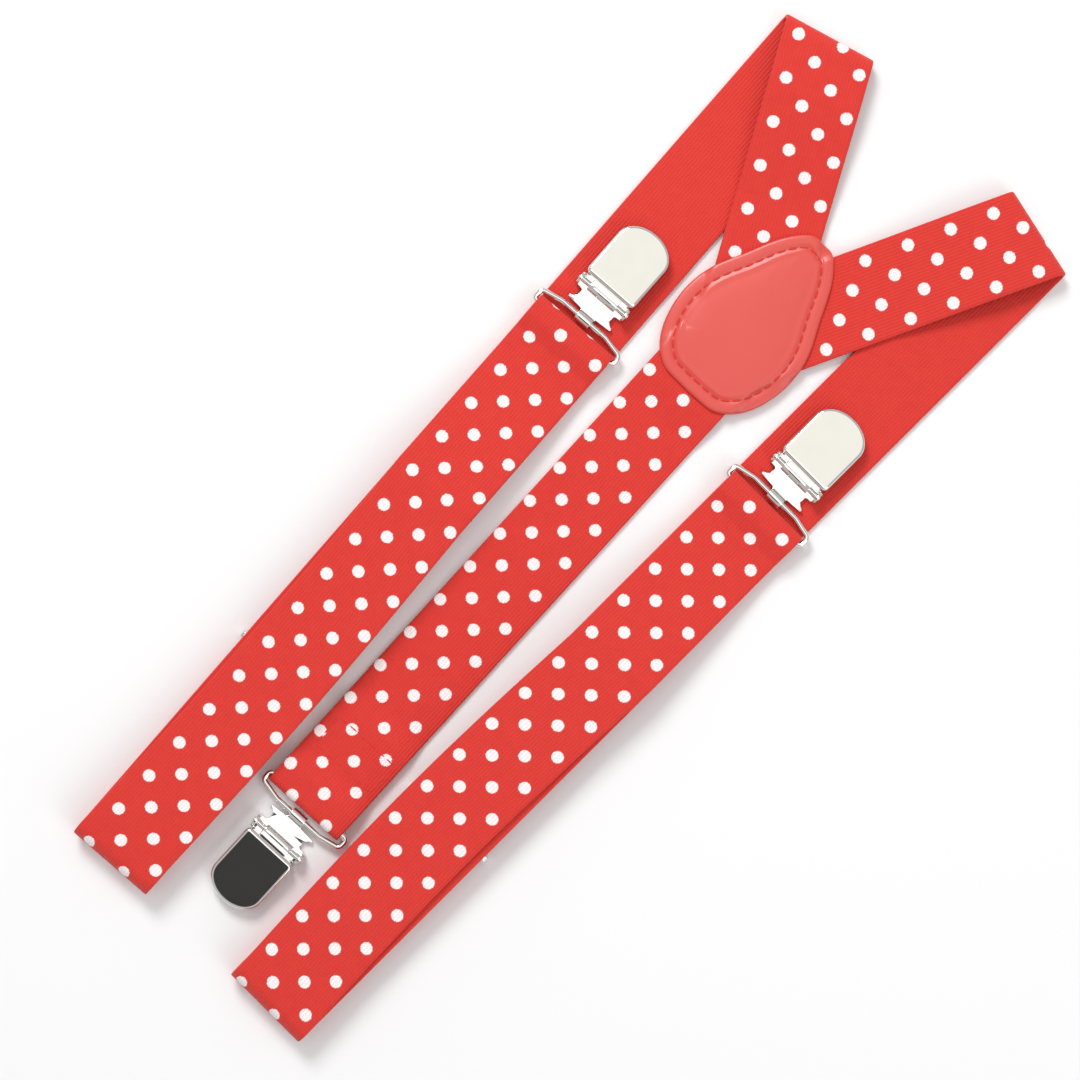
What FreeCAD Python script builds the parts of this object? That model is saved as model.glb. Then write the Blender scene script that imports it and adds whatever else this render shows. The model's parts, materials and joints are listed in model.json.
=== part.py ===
import FreeCAD, Part
import math
import os

# Clip-on elastic suspenders, lying folded flat: +Y runs from the bottom folds to the top folds,
# +Z is up off the table, and the origin is the middle of the underside.

V = FreeCAD.Vector
DOC = FreeCAD.newDocument("suspenders")

SIZES = [
    ("web_width", 25.0),
    ("web_thick", 1.1),
    ("ply_gap", 0.1),
    ("foot_x", 27.66),
    ("run_lean_deg", 2.0),
    ("arm_lean_deg", 26.9),
    ("top_fold_y", 286.1),
    ("bottom_fold_height", 8.1),
    ("top_fold_height", 5.5),
    ("strap_end_y", 186.1),
    ("back_end_y", 44.3),
    ("back_lean_deg", -0.7),
    ("patch_x", -1.9),
    ("adjuster_y", 68.0),
    ("adjuster_travel", 40.0),
    ("wire_thick", 1.5),
    ("fit_gap", 0.05),
    ("loop_width", 26.8),
    ("loop_reach", 4.3),
    ("tab_width", 4.6),
    ("plate_thick", 0.8),
    ("neck_width", 11.3),
    ("clip_width", 16.0),
    ("cover_start", 9.9),
    ("cover_end", 29.0),
    ("cover_round", 6.0),
    ("cover_crest", 3.0),
    ("cover_tip_height", 1.5),
    ("cover_wall", 0.7),
    ("skirt_low", -0.6),
    ("ear_radius", 1.9),
    ("ear_thick", 0.8),
    ("pin_y", 7.8),
    ("pin_z", 0.8),
    ("barrel_width", 9.2),
    ("barrel_radius", 1.5),
    ("pad_width", 12.4),
    ("pad_start", 15.0),
    ("pad_end", 25.4),
    ("tooth_root", -0.2),
    ("tooth_tip", -0.7),
    ("patch_back_thick", 1.1),
    ("patch_front_thick", 1.2),
    ("seam_inset", 3.7),
    ("thread_width", 0.7),
    ("thread_height", 0.25),
    ("sewn_width", 20.0),
    ("sewn_length", 10.0),
    ("slide_length", 16.0),
    ("slide_width", 27.9),
    ("slide_thick", 1.0),
    ("slide_bar", 1.6),
    ("slide_bar_thick", 0.8),
    ("slide_play", 0.3),
]

S = dict(SIZES)
SHEET = DOC.addObject("Spreadsheet::Sheet", "Sizes")
for row, (alias, value) in enumerate(SIZES, start=1):
    SHEET.set(f"A{row}", alias)
    SHEET.set(f"B{row}", str(value))
    SHEET.setAlias(f"B{row}", alias)
DOC.recompute()

HALF_WEB = S["web_width"] / 2
THICK = S["web_thick"]
STEP = THICK + S["ply_gap"]
LEVEL = THICK / 2
WIRE = S["wire_thick"] / 2
BIGHT = WIRE + 0.15 + THICK / 2
BIGHT_OUTER = BIGHT + THICK / 2
ARM_TO_RUN = math.radians(S["arm_lean_deg"] - S["run_lean_deg"])
FOLD_LEAN = (S["arm_lean_deg"] + S["run_lean_deg"]) / 2
FOLD_HALF = HALF_WEB / math.cos(ARM_TO_RUN / 2)
LOWEST = -HALF_WEB * math.sin(math.radians(S["run_lean_deg"]))
HIGHEST = S["top_fold_y"] + FOLD_HALF * math.sin(math.radians(FOLD_LEAN))
MIDDLE = (LOWEST + HIGHEST) / 2


# ---- frames and document helpers ----


def frame_at(x, y, z=0.0, lean=0.0):
    """A frame on the table: y counts from the bottom folds, lean turns +y towards +x."""
    turn = FreeCAD.Rotation(V(0, 0, 1), -lean)
    return FreeCAD.Placement(V(x, y - MIDDLE, z), turn)


def moved(frame, x=0.0, y=0.0, z=0.0):
    """The same frame, moved along its own axes."""
    return frame.multiply(FreeCAD.Placement(V(x, y, z), FreeCAD.Rotation()))


def bind(thing, prop, value):
    """Set a size to a number, or bind it to an expression in the sheet's names."""
    if isinstance(value, str):
        thing.setExpression(prop, value)
    else:
        setattr(thing, prop, value)


def box(name, frame, size, centre):
    """A block of the given size (numbers or expressions) whose low corner is placed by its centre."""
    solid = DOC.addObject("Part::Box", name)
    for prop, value in zip(("Length", "Width", "Height"), size):
        bind(solid, prop, value)
    DOC.recompute()
    corner = [c - float(s) / 2 for c, s in zip(centre, (solid.Length, solid.Width, solid.Height))]
    solid.Placement = moved(frame, *corner)
    return solid


def cross_pin(name, frame, radius, length, y, z):
    """A cylinder across the width of its frame, centred on x = 0."""
    solid = DOC.addObject("Part::Cylinder", name)
    bind(solid, "Radius", radius)
    bind(solid, "Height", length)
    DOC.recompute()
    across = FreeCAD.Rotation(V(0, 1, 0), 90)
    middle = FreeCAD.Placement(V(-float(solid.Height) / 2, y, z), across)
    solid.Placement = frame.multiply(middle)
    return solid


def extruded(name, frame, face, direction, length, centred=False):
    """A flat outline drawn out along one direction of its frame."""
    outline = DOC.addObject("Part::Feature", name + "_outline")
    outline.Shape = face
    outline.Placement = frame
    solid = DOC.addObject("Part::Extrusion", name)
    solid.Base = outline
    solid.DirMode = "Custom"
    solid.Dir = frame.Rotation.multVec(V(*direction))
    solid.Solid = True
    solid.Symmetric = centred
    bind(solid, "LengthFwd", length)
    return solid


def fused(name, pieces):
    solid = DOC.addObject("Part::MultiFuse", name)
    solid.Shapes = pieces
    solid.Refine = True
    return solid


def common(name, pieces):
    solid = DOC.addObject("Part::MultiCommon", name)
    solid.Shapes = pieces
    return solid


def cut(name, base, tool):
    solid = DOC.addObject("Part::Cut", name)
    solid.Base = base
    solid.Tool = tool
    return solid


# ---- outlines ----


def corner_arc(before, corner, after, radius):
    """Where a rounded corner's arc starts, its middle point, and where it ends."""
    back = (before - corner).normalize()
    onward = (after - corner).normalize()
    half = back.getAngle(onward) / 2
    reach = radius / math.tan(half)
    centre = corner + (back + onward).normalize() * (radius / math.sin(half))
    middle = centre + (corner - centre).normalize() * radius
    return corner + back * reach, middle, corner + onward * reach


def rounded(points, radii):
    """Straight and round edges along a chain of points, each inner corner with its radius."""
    edges = []
    start = points[0]
    for before, corner, after, radius in zip(points, points[1:], points[2:], radii):
        enter, middle, leave = corner_arc(before, corner, after, radius)
        if (enter - start).Length > 1e-6:
            edges.append(Part.makeLine(start, enter))
        edges.append(Part.Arc(enter, middle, leave).toShape())
        start = leave
    edges.append(Part.makeLine(start, points[-1]))
    return edges


def side_of(points, radii, offset):
    """The chain moved to its left by an offset, with radii that keep each bend concentric."""
    ways = [(b - a).normalize() for a, b in zip(points, points[1:])]
    lefts = [V(0, -way.z, way.y) for way in ways]
    chain = [points[0] + lefts[0] * offset]
    bends = []
    for i, corner in enumerate(points[1:-1]):
        shared = lefts[i] + lefts[i + 1]
        chain.append(corner + shared * (offset / (1 + lefts[i].dot(lefts[i + 1]))))
        left_turn = 1 if lefts[i].dot(ways[i + 1]) > 0 else -1
        bends.append(radii[i] - offset * left_turn)
    chain.append(points[-1] + lefts[-1] * offset)
    return rounded(chain, bends)


def ply(route, thick):
    """The side view of a bent strip: route lists (y, z, corner radius) along its middle."""
    points = [V(0, y, z) for y, z, _ in route]
    radii = [radius for _, _, radius in route[1:-1]]
    left = side_of(points, radii, thick / 2)
    right = side_of(points, radii, -thick / 2)
    starts = Part.makeLine(left[0].firstVertex().Point, right[0].firstVertex().Point)
    ends = Part.makeLine(left[-1].lastVertex().Point, right[-1].lastVertex().Point)
    return Part.Face(Part.Wire(Part.__sortEdges__(left + right + [starts, ends])))


def polygon(points):
    return Part.Face(Part.makePolygon(points + [points[0]]))


def side_polygon(pairs):
    return polygon([V(0, y, z) for y, z in pairs])


def mirrored_polygon(pairs):
    """A plan outline from its right-hand points, listed as (x, y) from the start to the tip."""
    right = [V(x, y, 0) for x, y in pairs]
    left = [V(-x, y, 0) for x, y in reversed(pairs)]
    return polygon(right + left)


# ---- webbing ----


def strip_wide(name, frame, route):
    return extruded(name, frame, ply(route, THICK), (1, 0, 0), "Sizes.web_width", True)


def plan_prism(name, frame, start, end):
    """A tall block over a stretch of webbing, used to trim the folds to the webbing's edges."""
    return box(name, frame, ("Sizes.web_width", end - start, 20.0), (0, (start + end) / 2, 0))


FOLD_Z = LEVEL + STEP
BOTTOM_R = S["bottom_fold_height"] / 2
BOTTOM_TOP = S["bottom_fold_height"] - LEVEL
LOOP_Z = THICK + S["ply_gap"] + BIGHT_OUTER
BACK_LOOP_Z = BIGHT_OUTER
STRAP_BAR_Y = S["strap_end_y"] - BIGHT_OUTER
BACK_BAR_Y = S["back_end_y"] + BIGHT_OUTER
RUN_END = S["top_fold_y"] - 16.0
RAISED = LEVEL + THICK
TRAVEL_FIRST = S["adjuster_y"] - 30.0
TRAVEL_LAST = S["adjuster_y"] + S["adjuster_travel"] + 22.0
TAB_REACH = 25.0
RETURN_END = S["adjuster_y"] - TAB_REACH
RAMP = 8.0

# Up the lower run, round the bottom fold, along the front run, round the wire and back inside.
FRONT_ROUTE = [
    (RUN_END, LEVEL, 0),
    (TRAVEL_LAST + RAMP, LEVEL, 8),
    (TRAVEL_LAST, RAISED, 8),
    (TRAVEL_FIRST, RAISED, 8),
    (TRAVEL_FIRST - RAMP, LEVEL, 8),
    (LEVEL, LEVEL, BOTTOM_R - LEVEL),
    (LEVEL, BOTTOM_TOP, BOTTOM_R - LEVEL),
    (TRAVEL_LAST, BOTTOM_TOP, 20),
    (170.0, FOLD_Z + STEP, 12),
    (176.0, FOLD_Z + STEP, 5),
    (180.5, LOOP_Z + BIGHT, 5),
    (STRAP_BAR_Y + BIGHT, LOOP_Z + BIGHT, BIGHT),
    (STRAP_BAR_Y + BIGHT, LOOP_Z - BIGHT, BIGHT),
    (170.0, FOLD_Z, 12),
    (TRAVEL_LAST, BOTTOM_TOP - STEP, 20),
    (LEVEL + STEP, BOTTOM_TOP - STEP, BOTTOM_R - LEVEL - STEP),
    (LEVEL + STEP, FOLD_Z, BOTTOM_R - LEVEL - STEP),
    (TRAVEL_FIRST - RAMP, FOLD_Z, 8),
    (TRAVEL_FIRST, FOLD_Z + THICK, 8),
    (RETURN_END, FOLD_Z + THICK, 0),
]

ARM_LENGTH = (S["foot_x"] + math.tan(math.radians(S["run_lean_deg"])) * S["top_fold_y"]) / math.sin(
    math.radians(S["arm_lean_deg"])
)
ARM_TOP = S["top_fold_height"] - LEVEL
ARM_ROUTE = [
    (ARM_LENGTH - 14.0, ARM_TOP, 0),
    (ARM_LENGTH - 17.0, ARM_TOP, 12),
    (38.0, LEVEL + STEP, 12),
    (-14.0, LEVEL + STEP, 0),
]
BACK_ROUTE = [
    (204.8 - BACK_BAR_Y, LEVEL + STEP, 0),
    (191.0 - BACK_BAR_Y, LEVEL + STEP, 6),
    (183.0 - BACK_BAR_Y, LEVEL, 6),
    (34.0, LEVEL, 0),
]
BACK_END_ROUTE = [
    (34.0 - S["ply_gap"], LEVEL, 0),
    (32.0, LEVEL, 6),
    (26.0, LEVEL + STEP, 6),
    (11.0, LEVEL + STEP, 5),
    (6.0, BACK_LOOP_Z + BIGHT, 5),
    (-BIGHT, BACK_LOOP_Z + BIGHT, BIGHT),
    (-BIGHT, BACK_LOOP_Z - BIGHT, BIGHT),
    (24.5, LEVEL, 0),
]
ARM_FOOT_Y = S["top_fold_y"] - ARM_LENGTH * math.cos(math.radians(S["arm_lean_deg"]))


def run_frame(side):
    return frame_at(side * S["foot_x"], 0.0, 0.0, side * S["run_lean_deg"])


def back_frame():
    """The back strap's frame: its origin is the bar of its wire loop, and it leans a little."""
    return frame_at(0.0, BACK_BAR_Y, 0.0, S["back_lean_deg"])


def patch_frame(z=0.0):
    return frame_at(S["patch_x"], 0.0, z)


def arm_frame(side):
    return frame_at(0.0, ARM_FOOT_Y, 0.0, side * S["arm_lean_deg"])


def top_fold(name, side):
    """The slanted fold at the top: a bent sheet whose two legs are trimmed to the run and the arm."""
    run_x = S["foot_x"] + math.tan(math.radians(S["run_lean_deg"])) * S["top_fold_y"]
    fold = frame_at(side * run_x, S["top_fold_y"], 0.0, side * FOLD_LEAN)
    reach = 34.0
    radius = S["top_fold_height"] / 2 - LEVEL
    route = [(-reach, LEVEL, 0), (-LEVEL, LEVEL, radius), (-LEVEL, ARM_TOP, radius), (-reach, ARM_TOP, 0)]
    far = math.hypot(S["top_fold_y"], run_x - S["foot_x"])
    half_height = 10.0
    middle = S["top_fold_height"] / 2
    past = 14.0
    legs = []
    for leg, z, way, start, end in (
        ("lower", middle - half_height / 2, run_frame(side), RUN_END, far + past),
        ("upper", middle + half_height / 2, arm_frame(side), ARM_LENGTH - past, ARM_LENGTH + past),
    ):
        sheet = extruded(f"{name}_{leg}_sheet", fold, ply(route, THICK), (1, 0, 0), 80.0, True)
        half = box(f"{name}_{leg}_half", fold, (90.0, 90.0, half_height), (0, 0, z))
        prism = plan_prism(f"{name}_{leg}_prism", way, start, end)
        legs.append(common(f"{name}_{leg}", [sheet, half, prism]))
    return legs


def arm(name, side):
    """The arm from the top fold to the patch, mitred where the two arms meet."""
    strip = strip_wide(f"{name}_strip", arm_frame(side), ARM_ROUTE)
    seam = 0.05
    keep = box(f"{name}_keep", frame_at(0, 0), (80.0, 100.0, 20.0), (side * (40.0 + seam), 255.0, 0))
    return common(name, [strip, keep])


def side_strap(name, side):
    run = strip_wide(f"{name}_run", run_frame(side), FRONT_ROUTE)
    pieces = [run] + top_fold(f"{name}_fold", side) + [arm(f"{name}_arm", side)]
    return fused(name, pieces)


def back_strap(name):
    return strip_wide(name, back_frame(), BACK_ROUTE)


def back_strap_end(name):
    """The end of the back strap, folded round its wire; the strap stretches between it and the patch."""
    return strip_wide(name, back_frame(), BACK_END_ROUTE)


def strap_end(name, frame):
    """The strap's own end, sewn round the adjuster's middle bar."""
    under = FOLD_Z + THICK
    bar = S["slide_bar"] / 2 + 1.0
    over = under + 2.1
    route = [
        (-TAB_REACH + 0.2, under, 0),
        (bar, under, 1.05),
        (bar, over, 1.05),
        (-3.0, over, 5),
        (-8.0, under + STEP, 5),
        (-21.0, under + STEP, 0),
    ]
    return strip_wide(name, frame, route)


def seam_frame(name, frame, y, z):
    """A sewn rectangle of thread lying on the webbing."""
    outside = ("Sizes.sewn_width", "Sizes.sewn_length", "Sizes.thread_height")
    inside = ("Sizes.sewn_width - 2 * Sizes.thread_width", "Sizes.sewn_length - 2 * Sizes.thread_width", 2.0)
    outer = box(f"{name}_outer", frame, outside, (0, y, z))
    inner = box(f"{name}_inner", frame, inside, (0, y, z))
    return cut(name, outer, inner)


# ---- the patch that joins the straps ----


PATCH_HIGH_Y = 245.5
PATCH_LOW_Y = 193.4
PATCH_LID = 3.4
PATCH_BASE = 8.0
PATCH_SIDE = [(9.7, 237.8), (13.5, 229.5), (17.2, 221.5), (18.6, 213.0), (17.5, 205.0), (14.6, 198.6)]


def patch_face():
    """A teardrop: flat at the top, widest low down, with a nearly straight lower edge."""
    sides = []
    stations = [(PATCH_LID, PATCH_HIGH_Y)] + PATCH_SIDE + [(PATCH_BASE, PATCH_LOW_Y)]
    for side in (1, -1):
        curve = Part.BSplineCurve()
        curve.interpolate([V(side * x, y, 0) for x, y in stations])
        sides.append(curve.toShape())
    lid = Part.makeLine(V(-PATCH_LID, PATCH_HIGH_Y, 0), V(PATCH_LID, PATCH_HIGH_Y, 0))
    sag = V(0, PATCH_LOW_Y - 0.3, 0)
    base = Part.Arc(V(-PATCH_BASE, PATCH_LOW_Y, 0), sag, V(PATCH_BASE, PATCH_LOW_Y, 0)).toShape()
    return Part.Face(Part.Wire(Part.__sortEdges__(sides + [lid, base])))


def seam_face(inset):
    """The area inside the seam line: the patch's outline drawn inwards, with rounded corners."""
    stations = [V(x, y, 0) for x, y in PATCH_SIDE]
    right = []
    for before, here, after in zip(stations, stations[1:], stations[2:]):
        way = (after - before).normalize()
        right.append(here + V(way.y, -way.x, 0) * inset)
    low = PATCH_LOW_Y + inset + 1.0
    first = V(inset * 0.9 + 1.0, PATCH_HIGH_Y - 2.1 * inset, 0)
    last = V(PATCH_BASE * 0.8, low + 0.6, 0)
    right = [first] + right + [last]
    left = [V(-point.x, point.y, 0) for point in reversed(right)]
    loop = [V(0, PATCH_HIGH_Y - inset, 0)] + right + [V(0, low, 0)] + left
    curve = Part.BSplineCurve()
    curve.interpolate(loop, PeriodicFlag=True)
    return Part.Face(Part.Wire(curve.toShape()))


PATCH_LOW = 2 * THICK + 2 * S["ply_gap"]
PATCH_TOP = PATCH_LOW + S["patch_front_thick"]


def patch_back(name):
    return extruded(name, patch_frame(), patch_face(), (0, 0, 1), "Sizes.patch_back_thick")


def seam_ring(name, width, height, z):
    inset = S["seam_inset"] - width / 2
    frame = patch_frame(z)
    outer = extruded(f"{name}_outer", frame, seam_face(inset), (0, 0, 1), height)
    inner = extruded(f"{name}_inner", moved(frame, 0, 0, -1), seam_face(inset + width), (0, 0, 1), 4.0)
    return cut(name, outer, inner)


def patch_front(name):
    """The top leather, with a rim that fills in beside the webbing and a groove for the seam."""
    lid = extruded(f"{name}_lid", patch_frame(PATCH_LOW), patch_face(), (0, 0, 1), "Sizes.patch_front_thick")
    low = S["patch_back_thick"] + S["ply_gap"]
    rim = extruded(f"{name}_rim", patch_frame(low), patch_face(), (0, 0, 1), PATCH_LOW - low)
    room = S["web_width"] + 0.4
    ways = [box(f"{name}_way_back", back_frame(), (room, 60.0, 9.0), (0, 180.0 - BACK_BAR_Y, 0))]
    for side, word in ((-1, "left"), (1, "right")):
        ways.append(box(f"{name}_way_{word}", arm_frame(side), (room, 80.0, 9.0), (0, 26.0, 0)))
    filling = cut(f"{name}_filling", rim, fused(f"{name}_ways", ways))
    whole = fused(f"{name}_whole", [lid, filling])
    groove = seam_ring(f"{name}_groove", S["thread_width"] + 0.2, 1.0, PATCH_TOP - 0.3)
    return cut(name, whole, groove)


# ---- clips ----


COVER_ROLL = 1.0


def clip_face(inset=0.0):
    """The cover seen from above: straight sides and a half-round end."""
    half = S["clip_width"] / 2 - inset
    start = S["cover_start"] + inset
    tip = S["cover_end"] - inset
    shoulder = S["cover_end"] - S["cover_round"]
    corners = [(-half, shoulder), (-half, start), (half, start), (half, shoulder)]
    base = Part.makePolygon([V(x, y, 0) for x, y in corners])
    if half > tip - shoulder:
        oval = Part.Ellipse(V(half, shoulder, 0), V(0, tip, 0), V(0, shoulder, 0))
    else:
        oval = Part.Circle(V(0, shoulder, 0), V(0, 0, 1), half)
    return Part.Face(Part.Wire(Part.__sortEdges__(base.Edges + [oval.toShape(0, math.pi)])))


def cover_profile(inset=0.0):
    """The cover seen from the side: highest near its hinge and lower at its tip."""
    start = S["cover_start"] + inset
    tip = S["cover_end"] - inset
    low = S["skirt_low"] - 2.0 * bool(inset)
    crest = S["cover_crest"] - inset
    end = S["cover_tip_height"] - inset
    base = [(start, low), (start, crest - 0.4), (start + COVER_ROLL, crest)]
    nose = [(tip - COVER_ROLL, end), (tip, end - 0.6), (tip, low)]
    return side_polygon(base + nose)


def wire_loop(name, frame):
    """A closed loop of round wire: one bar in the webbing, one for the clip's tab."""
    half = S["loop_width"] / 2
    reach = S["loop_reach"]
    corners = [(half, 0), (half, 3.0), (7.5, reach), (-7.5, reach), (-half, 3.0), (-half, 0)]
    points = [V(0, 0, 0)] + [V(x, y, 0) for x, y in corners] + [V(0, 0, 0)]
    spine = DOC.addObject("Part::Feature", name + "_spine")
    spine.Shape = Part.Wire(rounded(points, [1.0, 1.2, 2.0, 2.0, 1.2, 1.0]))
    spine.Placement = frame
    section = DOC.addObject("Part::Circle", name + "_section")
    bind(section, "Radius", "Sizes.wire_thick / 2")
    across = FreeCAD.Placement(V(0, 0, 0), FreeCAD.Rotation(V(0, 1, 0), 90))
    section.Placement = frame.multiply(across)
    sweep = DOC.addObject("Part::Sweep", name)
    sweep.Sections = [section]
    sweep.Spine = (spine, [])
    sweep.Solid = True
    return sweep


def clip_plate(name, frame):
    """The back plate: a tab curled round the wire, a neck, and two ears for the hinge pin."""
    bar = S["loop_reach"]
    low = -WIRE - S["fit_gap"] - S["plate_thick"]
    tab, neck, half = S["tab_width"] / 2, S["neck_width"] / 2, S["clip_width"] / 2
    jaw = half - 1.1
    shoulder = 7.2
    outline = [(tab, 0.0), (tab, 1.6), (shoulder, 2.0), (shoulder, 2.8), (neck, 3.6), (neck, 5.0)]
    outline += [(half, 5.5), (half, 9.7), (jaw, 9.9), (jaw, 23.0), (jaw * 0.8, 26.0), (jaw * 0.4, 28.0)]
    at = moved(frame, 0, bar, low)
    flat = extruded(f"{name}_flat", at, mirrored_polygon(outline), (0, 0, 1), "Sizes.plate_thick")
    curl = cross_pin(f"{name}_curl", frame, "Sizes.wire_thick / 2 + Sizes.fit_gap + Sizes.plate_thick",
                     "Sizes.tab_width", bar, 0.0)
    ears = []
    pin_y, pin_z = bar + S["pin_y"], S["pin_z"]
    foot_size = ("Sizes.ear_thick", "2 * Sizes.ear_radius", pin_z - low)
    for side, word in ((-1, "left"), (1, "right")):
        x = side * (half - S["ear_thick"] / 2)
        foot = box(f"{name}_{word}_foot", frame, foot_size, (x, pin_y, (pin_z + low) / 2))
        at_ear = moved(frame, x)
        eye = cross_pin(f"{name}_{word}_eye", at_ear, "Sizes.ear_radius", "Sizes.ear_thick", pin_y, pin_z)
        ears += [foot, eye]
    whole = fused(f"{name}_whole", [flat, curl] + ears)
    wire_hole = cross_pin(f"{name}_wire_hole", frame, "Sizes.wire_thick / 2 + Sizes.fit_gap", 20.0, bar, 0.0)
    pin_hole = cross_pin(f"{name}_pin_hole", frame, "Sizes.wire_thick / 2 + 0.03", 30.0, pin_y, pin_z)
    return cut(name, whole, fused(f"{name}_holes", [wire_hole, pin_hole]))


def hinge_pin(name, frame):
    y = S["loop_reach"] + S["pin_y"]
    return cross_pin(name, frame, "Sizes.wire_thick / 2", "Sizes.clip_width + 0.5", y, S["pin_z"])


def lever_cover(name, frame):
    """The polished cover: a hollow shell with skirts, and a barrel that turns on the pin."""
    at = moved(frame, 0, S["loop_reach"], 0)
    shells = []
    for word, inset in (("outer", 0.0), ("inner", S["cover_wall"])):
        side = extruded(f"{name}_{word}_side", at, cover_profile(inset), (1, 0, 0), 30.0, True)
        plan = extruded(f"{name}_{word}_plan", moved(at, 0, 0, -5), clip_face(inset), (0, 0, 1), 12.0)
        shells.append(common(f"{name}_{word}", [side, plan]))
    shell = cut(f"{name}_shell", *shells)
    pin = (S["pin_y"], S["pin_z"])
    barrel = cross_pin(f"{name}_barrel", at, "Sizes.barrel_radius", "Sizes.barrel_width", *pin)
    link_size = ("Sizes.barrel_width", 2.8, "Sizes.cover_wall")
    link_z = S["pin_z"] + S["barrel_radius"] - S["cover_wall"] / 2
    link = box(f"{name}_link", at, link_size, (0, S["pin_y"] + 1.4, link_z))
    bore = cross_pin(f"{name}_bore", at, "Sizes.wire_thick / 2 + Sizes.fit_gap", 20.0, *pin)
    return cut(name, fused(f"{name}_whole", [shell, barrel, link]), bore)


def grip_pad(name, frame):
    """The plastic pad under the cover, with teeth that bite the cloth."""
    at = moved(frame, 0, S["loop_reach"], 0)
    start, end, teeth = S["pad_start"], S["pad_end"], 4
    inside = S["cover_crest"] - S["cover_wall"] - S["fit_gap"]
    crest_y = S["cover_start"] + COVER_ROLL
    slope = (S["cover_crest"] - S["cover_tip_height"]) / (S["cover_end"] - COVER_ROLL - crest_y)
    ceiling = [inside - slope * (y - crest_y) for y in (start, end)]
    pitch = (end - start) / teeth
    outline = [(end, ceiling[1]), (start, ceiling[0])]
    for tooth in range(teeth):
        at_y = start + pitch * tooth
        outline += [(at_y, S["tooth_root"]), (at_y + pitch / 2, S["tooth_tip"])]
    outline.append((end, S["tooth_root"]))
    return extruded(name, at, side_polygon(outline), (1, 0, 0), "Sizes.pad_width", True)


# ---- the hidden length adjusters ----


def adjuster(name, frame):
    """A stamped slide: end bars under the strap and a raised middle bar over it."""
    length, width, thick = S["slide_length"], S["slide_width"], S["slide_thick"]
    window_x = S["web_width"] + S["slide_play"]
    bar_low = FOLD_Z + THICK + LEVEL + S["ply_gap"]
    bar_thick = S["slide_bar_thick"]
    plate = box(f"{name}_plate", frame, ("Sizes.slide_width", "Sizes.slide_length", "Sizes.slide_thick"),
                (0, 0, thick / 2))
    window = box(f"{name}_window", frame, (window_x, length - 3.0, 4.0), (0, 0, 0))
    legs = []
    for side, word in ((-1, "left"), (1, "right")):
        x = side * (window_x + width) / 4
        high = bar_low + bar_thick
        legs.append(box(f"{name}_{word}_leg", frame, ((width - window_x) / 2, 2.0, high), (x, 0, high / 2)))
    size = ("Sizes.slide_width", "Sizes.slide_bar", "Sizes.slide_bar_thick")
    bar = box(f"{name}_bar", frame, size, (0, 0, bar_low + bar_thick / 2))
    rim = cut(f"{name}_rim", plate, window)
    return fused(name, [rim, bar] + legs)


# ---- the whole object ----


def clip_set(word, frame):
    """One clip on its wire loop; the frame's origin is the bar that the webbing goes round."""
    return {
        f"{word}_wire_loop": wire_loop(f"{word}_wire_loop", frame),
        f"{word}_clip_plate": clip_plate(f"{word}_clip_plate", frame),
        f"{word}_hinge_pin": hinge_pin(f"{word}_hinge_pin", frame),
        f"{word}_lever_cover": lever_cover(f"{word}_lever_cover", frame),
        f"{word}_grip_pad": grip_pad(f"{word}_grip_pad", frame),
    }


NODES = {}
for side, word in ((-1, "left"), (1, "right")):
    NODES[f"{word}_strap"] = side_strap(f"{word}_strap", side)
    slide = moved(run_frame(side), 0, S["adjuster_y"])
    NODES[f"{word}_adjuster"] = adjuster(f"{word}_adjuster", slide)
    NODES[f"{word}_strap_end"] = strap_end(f"{word}_strap_end", slide)
    seam_z = FOLD_Z + THICK + STEP + LEVEL + S["thread_height"] / 2
    NODES[f"{word}_end_seam"] = seam_frame(f"{word}_end_seam", slide, -14.5, seam_z)
    NODES.update(clip_set(word, moved(run_frame(side), 0, STRAP_BAR_Y, LOOP_Z)))

NODES["back_strap"] = back_strap("back_strap")
NODES["back_strap_end"] = back_strap_end("back_strap_end")
NODES["back_seam"] = seam_frame("back_seam", back_frame(), 18.0, STEP + THICK + S["thread_height"] / 2)
NODES.update(clip_set("back", frame_at(0, BACK_BAR_Y, BACK_LOOP_Z, 180.0 + S["back_lean_deg"])))
NODES["patch_back"] = patch_back("patch_back")
NODES["patch_front"] = patch_front("patch_front")
NODES["patch_seam"] = seam_ring("patch_seam", S["thread_width"], S["thread_height"] + 0.15, PATCH_TOP - 0.15)

DOC.recompute()
for thing in DOC.Objects:
    if "Invalid" in thing.State or "Error" in thing.State:
        raise RuntimeError(f"{thing.Name} failed: {thing.State}")
os.makedirs("parts", exist_ok=True)
whole = FreeCAD.BoundBox()
for label, thing in NODES.items():
    thing.Label = label
    shape = thing.Shape
    if shape.isNull() or not shape.isValid() or len(shape.Solids) != 1:
        raise RuntimeError(f"{label} is not one valid solid: {len(shape.Solids)} solids")
    whole.add(shape.optimalBoundingBox(False, False))
    print(f"{label}: {shape.Volume:.1f} mm3")
    shape.exportStep(f"parts/{label}.step")
print("size", round(whole.XLength, 2), round(whole.YLength, 2), round(whole.ZLength, 2))
print("middle", round(whole.Center.x, 3), round(whole.Center.y, 3), "floor", round(whole.ZMin, 3))
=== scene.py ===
# %% [markdown]
# # Clip-on suspenders, folded flat
#
# These are red elastic suspenders with white dots: two side straps, a back strap, a leather patch that joins
# them, and three metal clips. The engineering model is loaded first and never moves. Each cell below makes one
# visible piece around it and hands it to the body that it moves with.

# %% Load the frame
import json
import math

import bmesh
import bpy
from mathutils import Matrix, Vector


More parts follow.
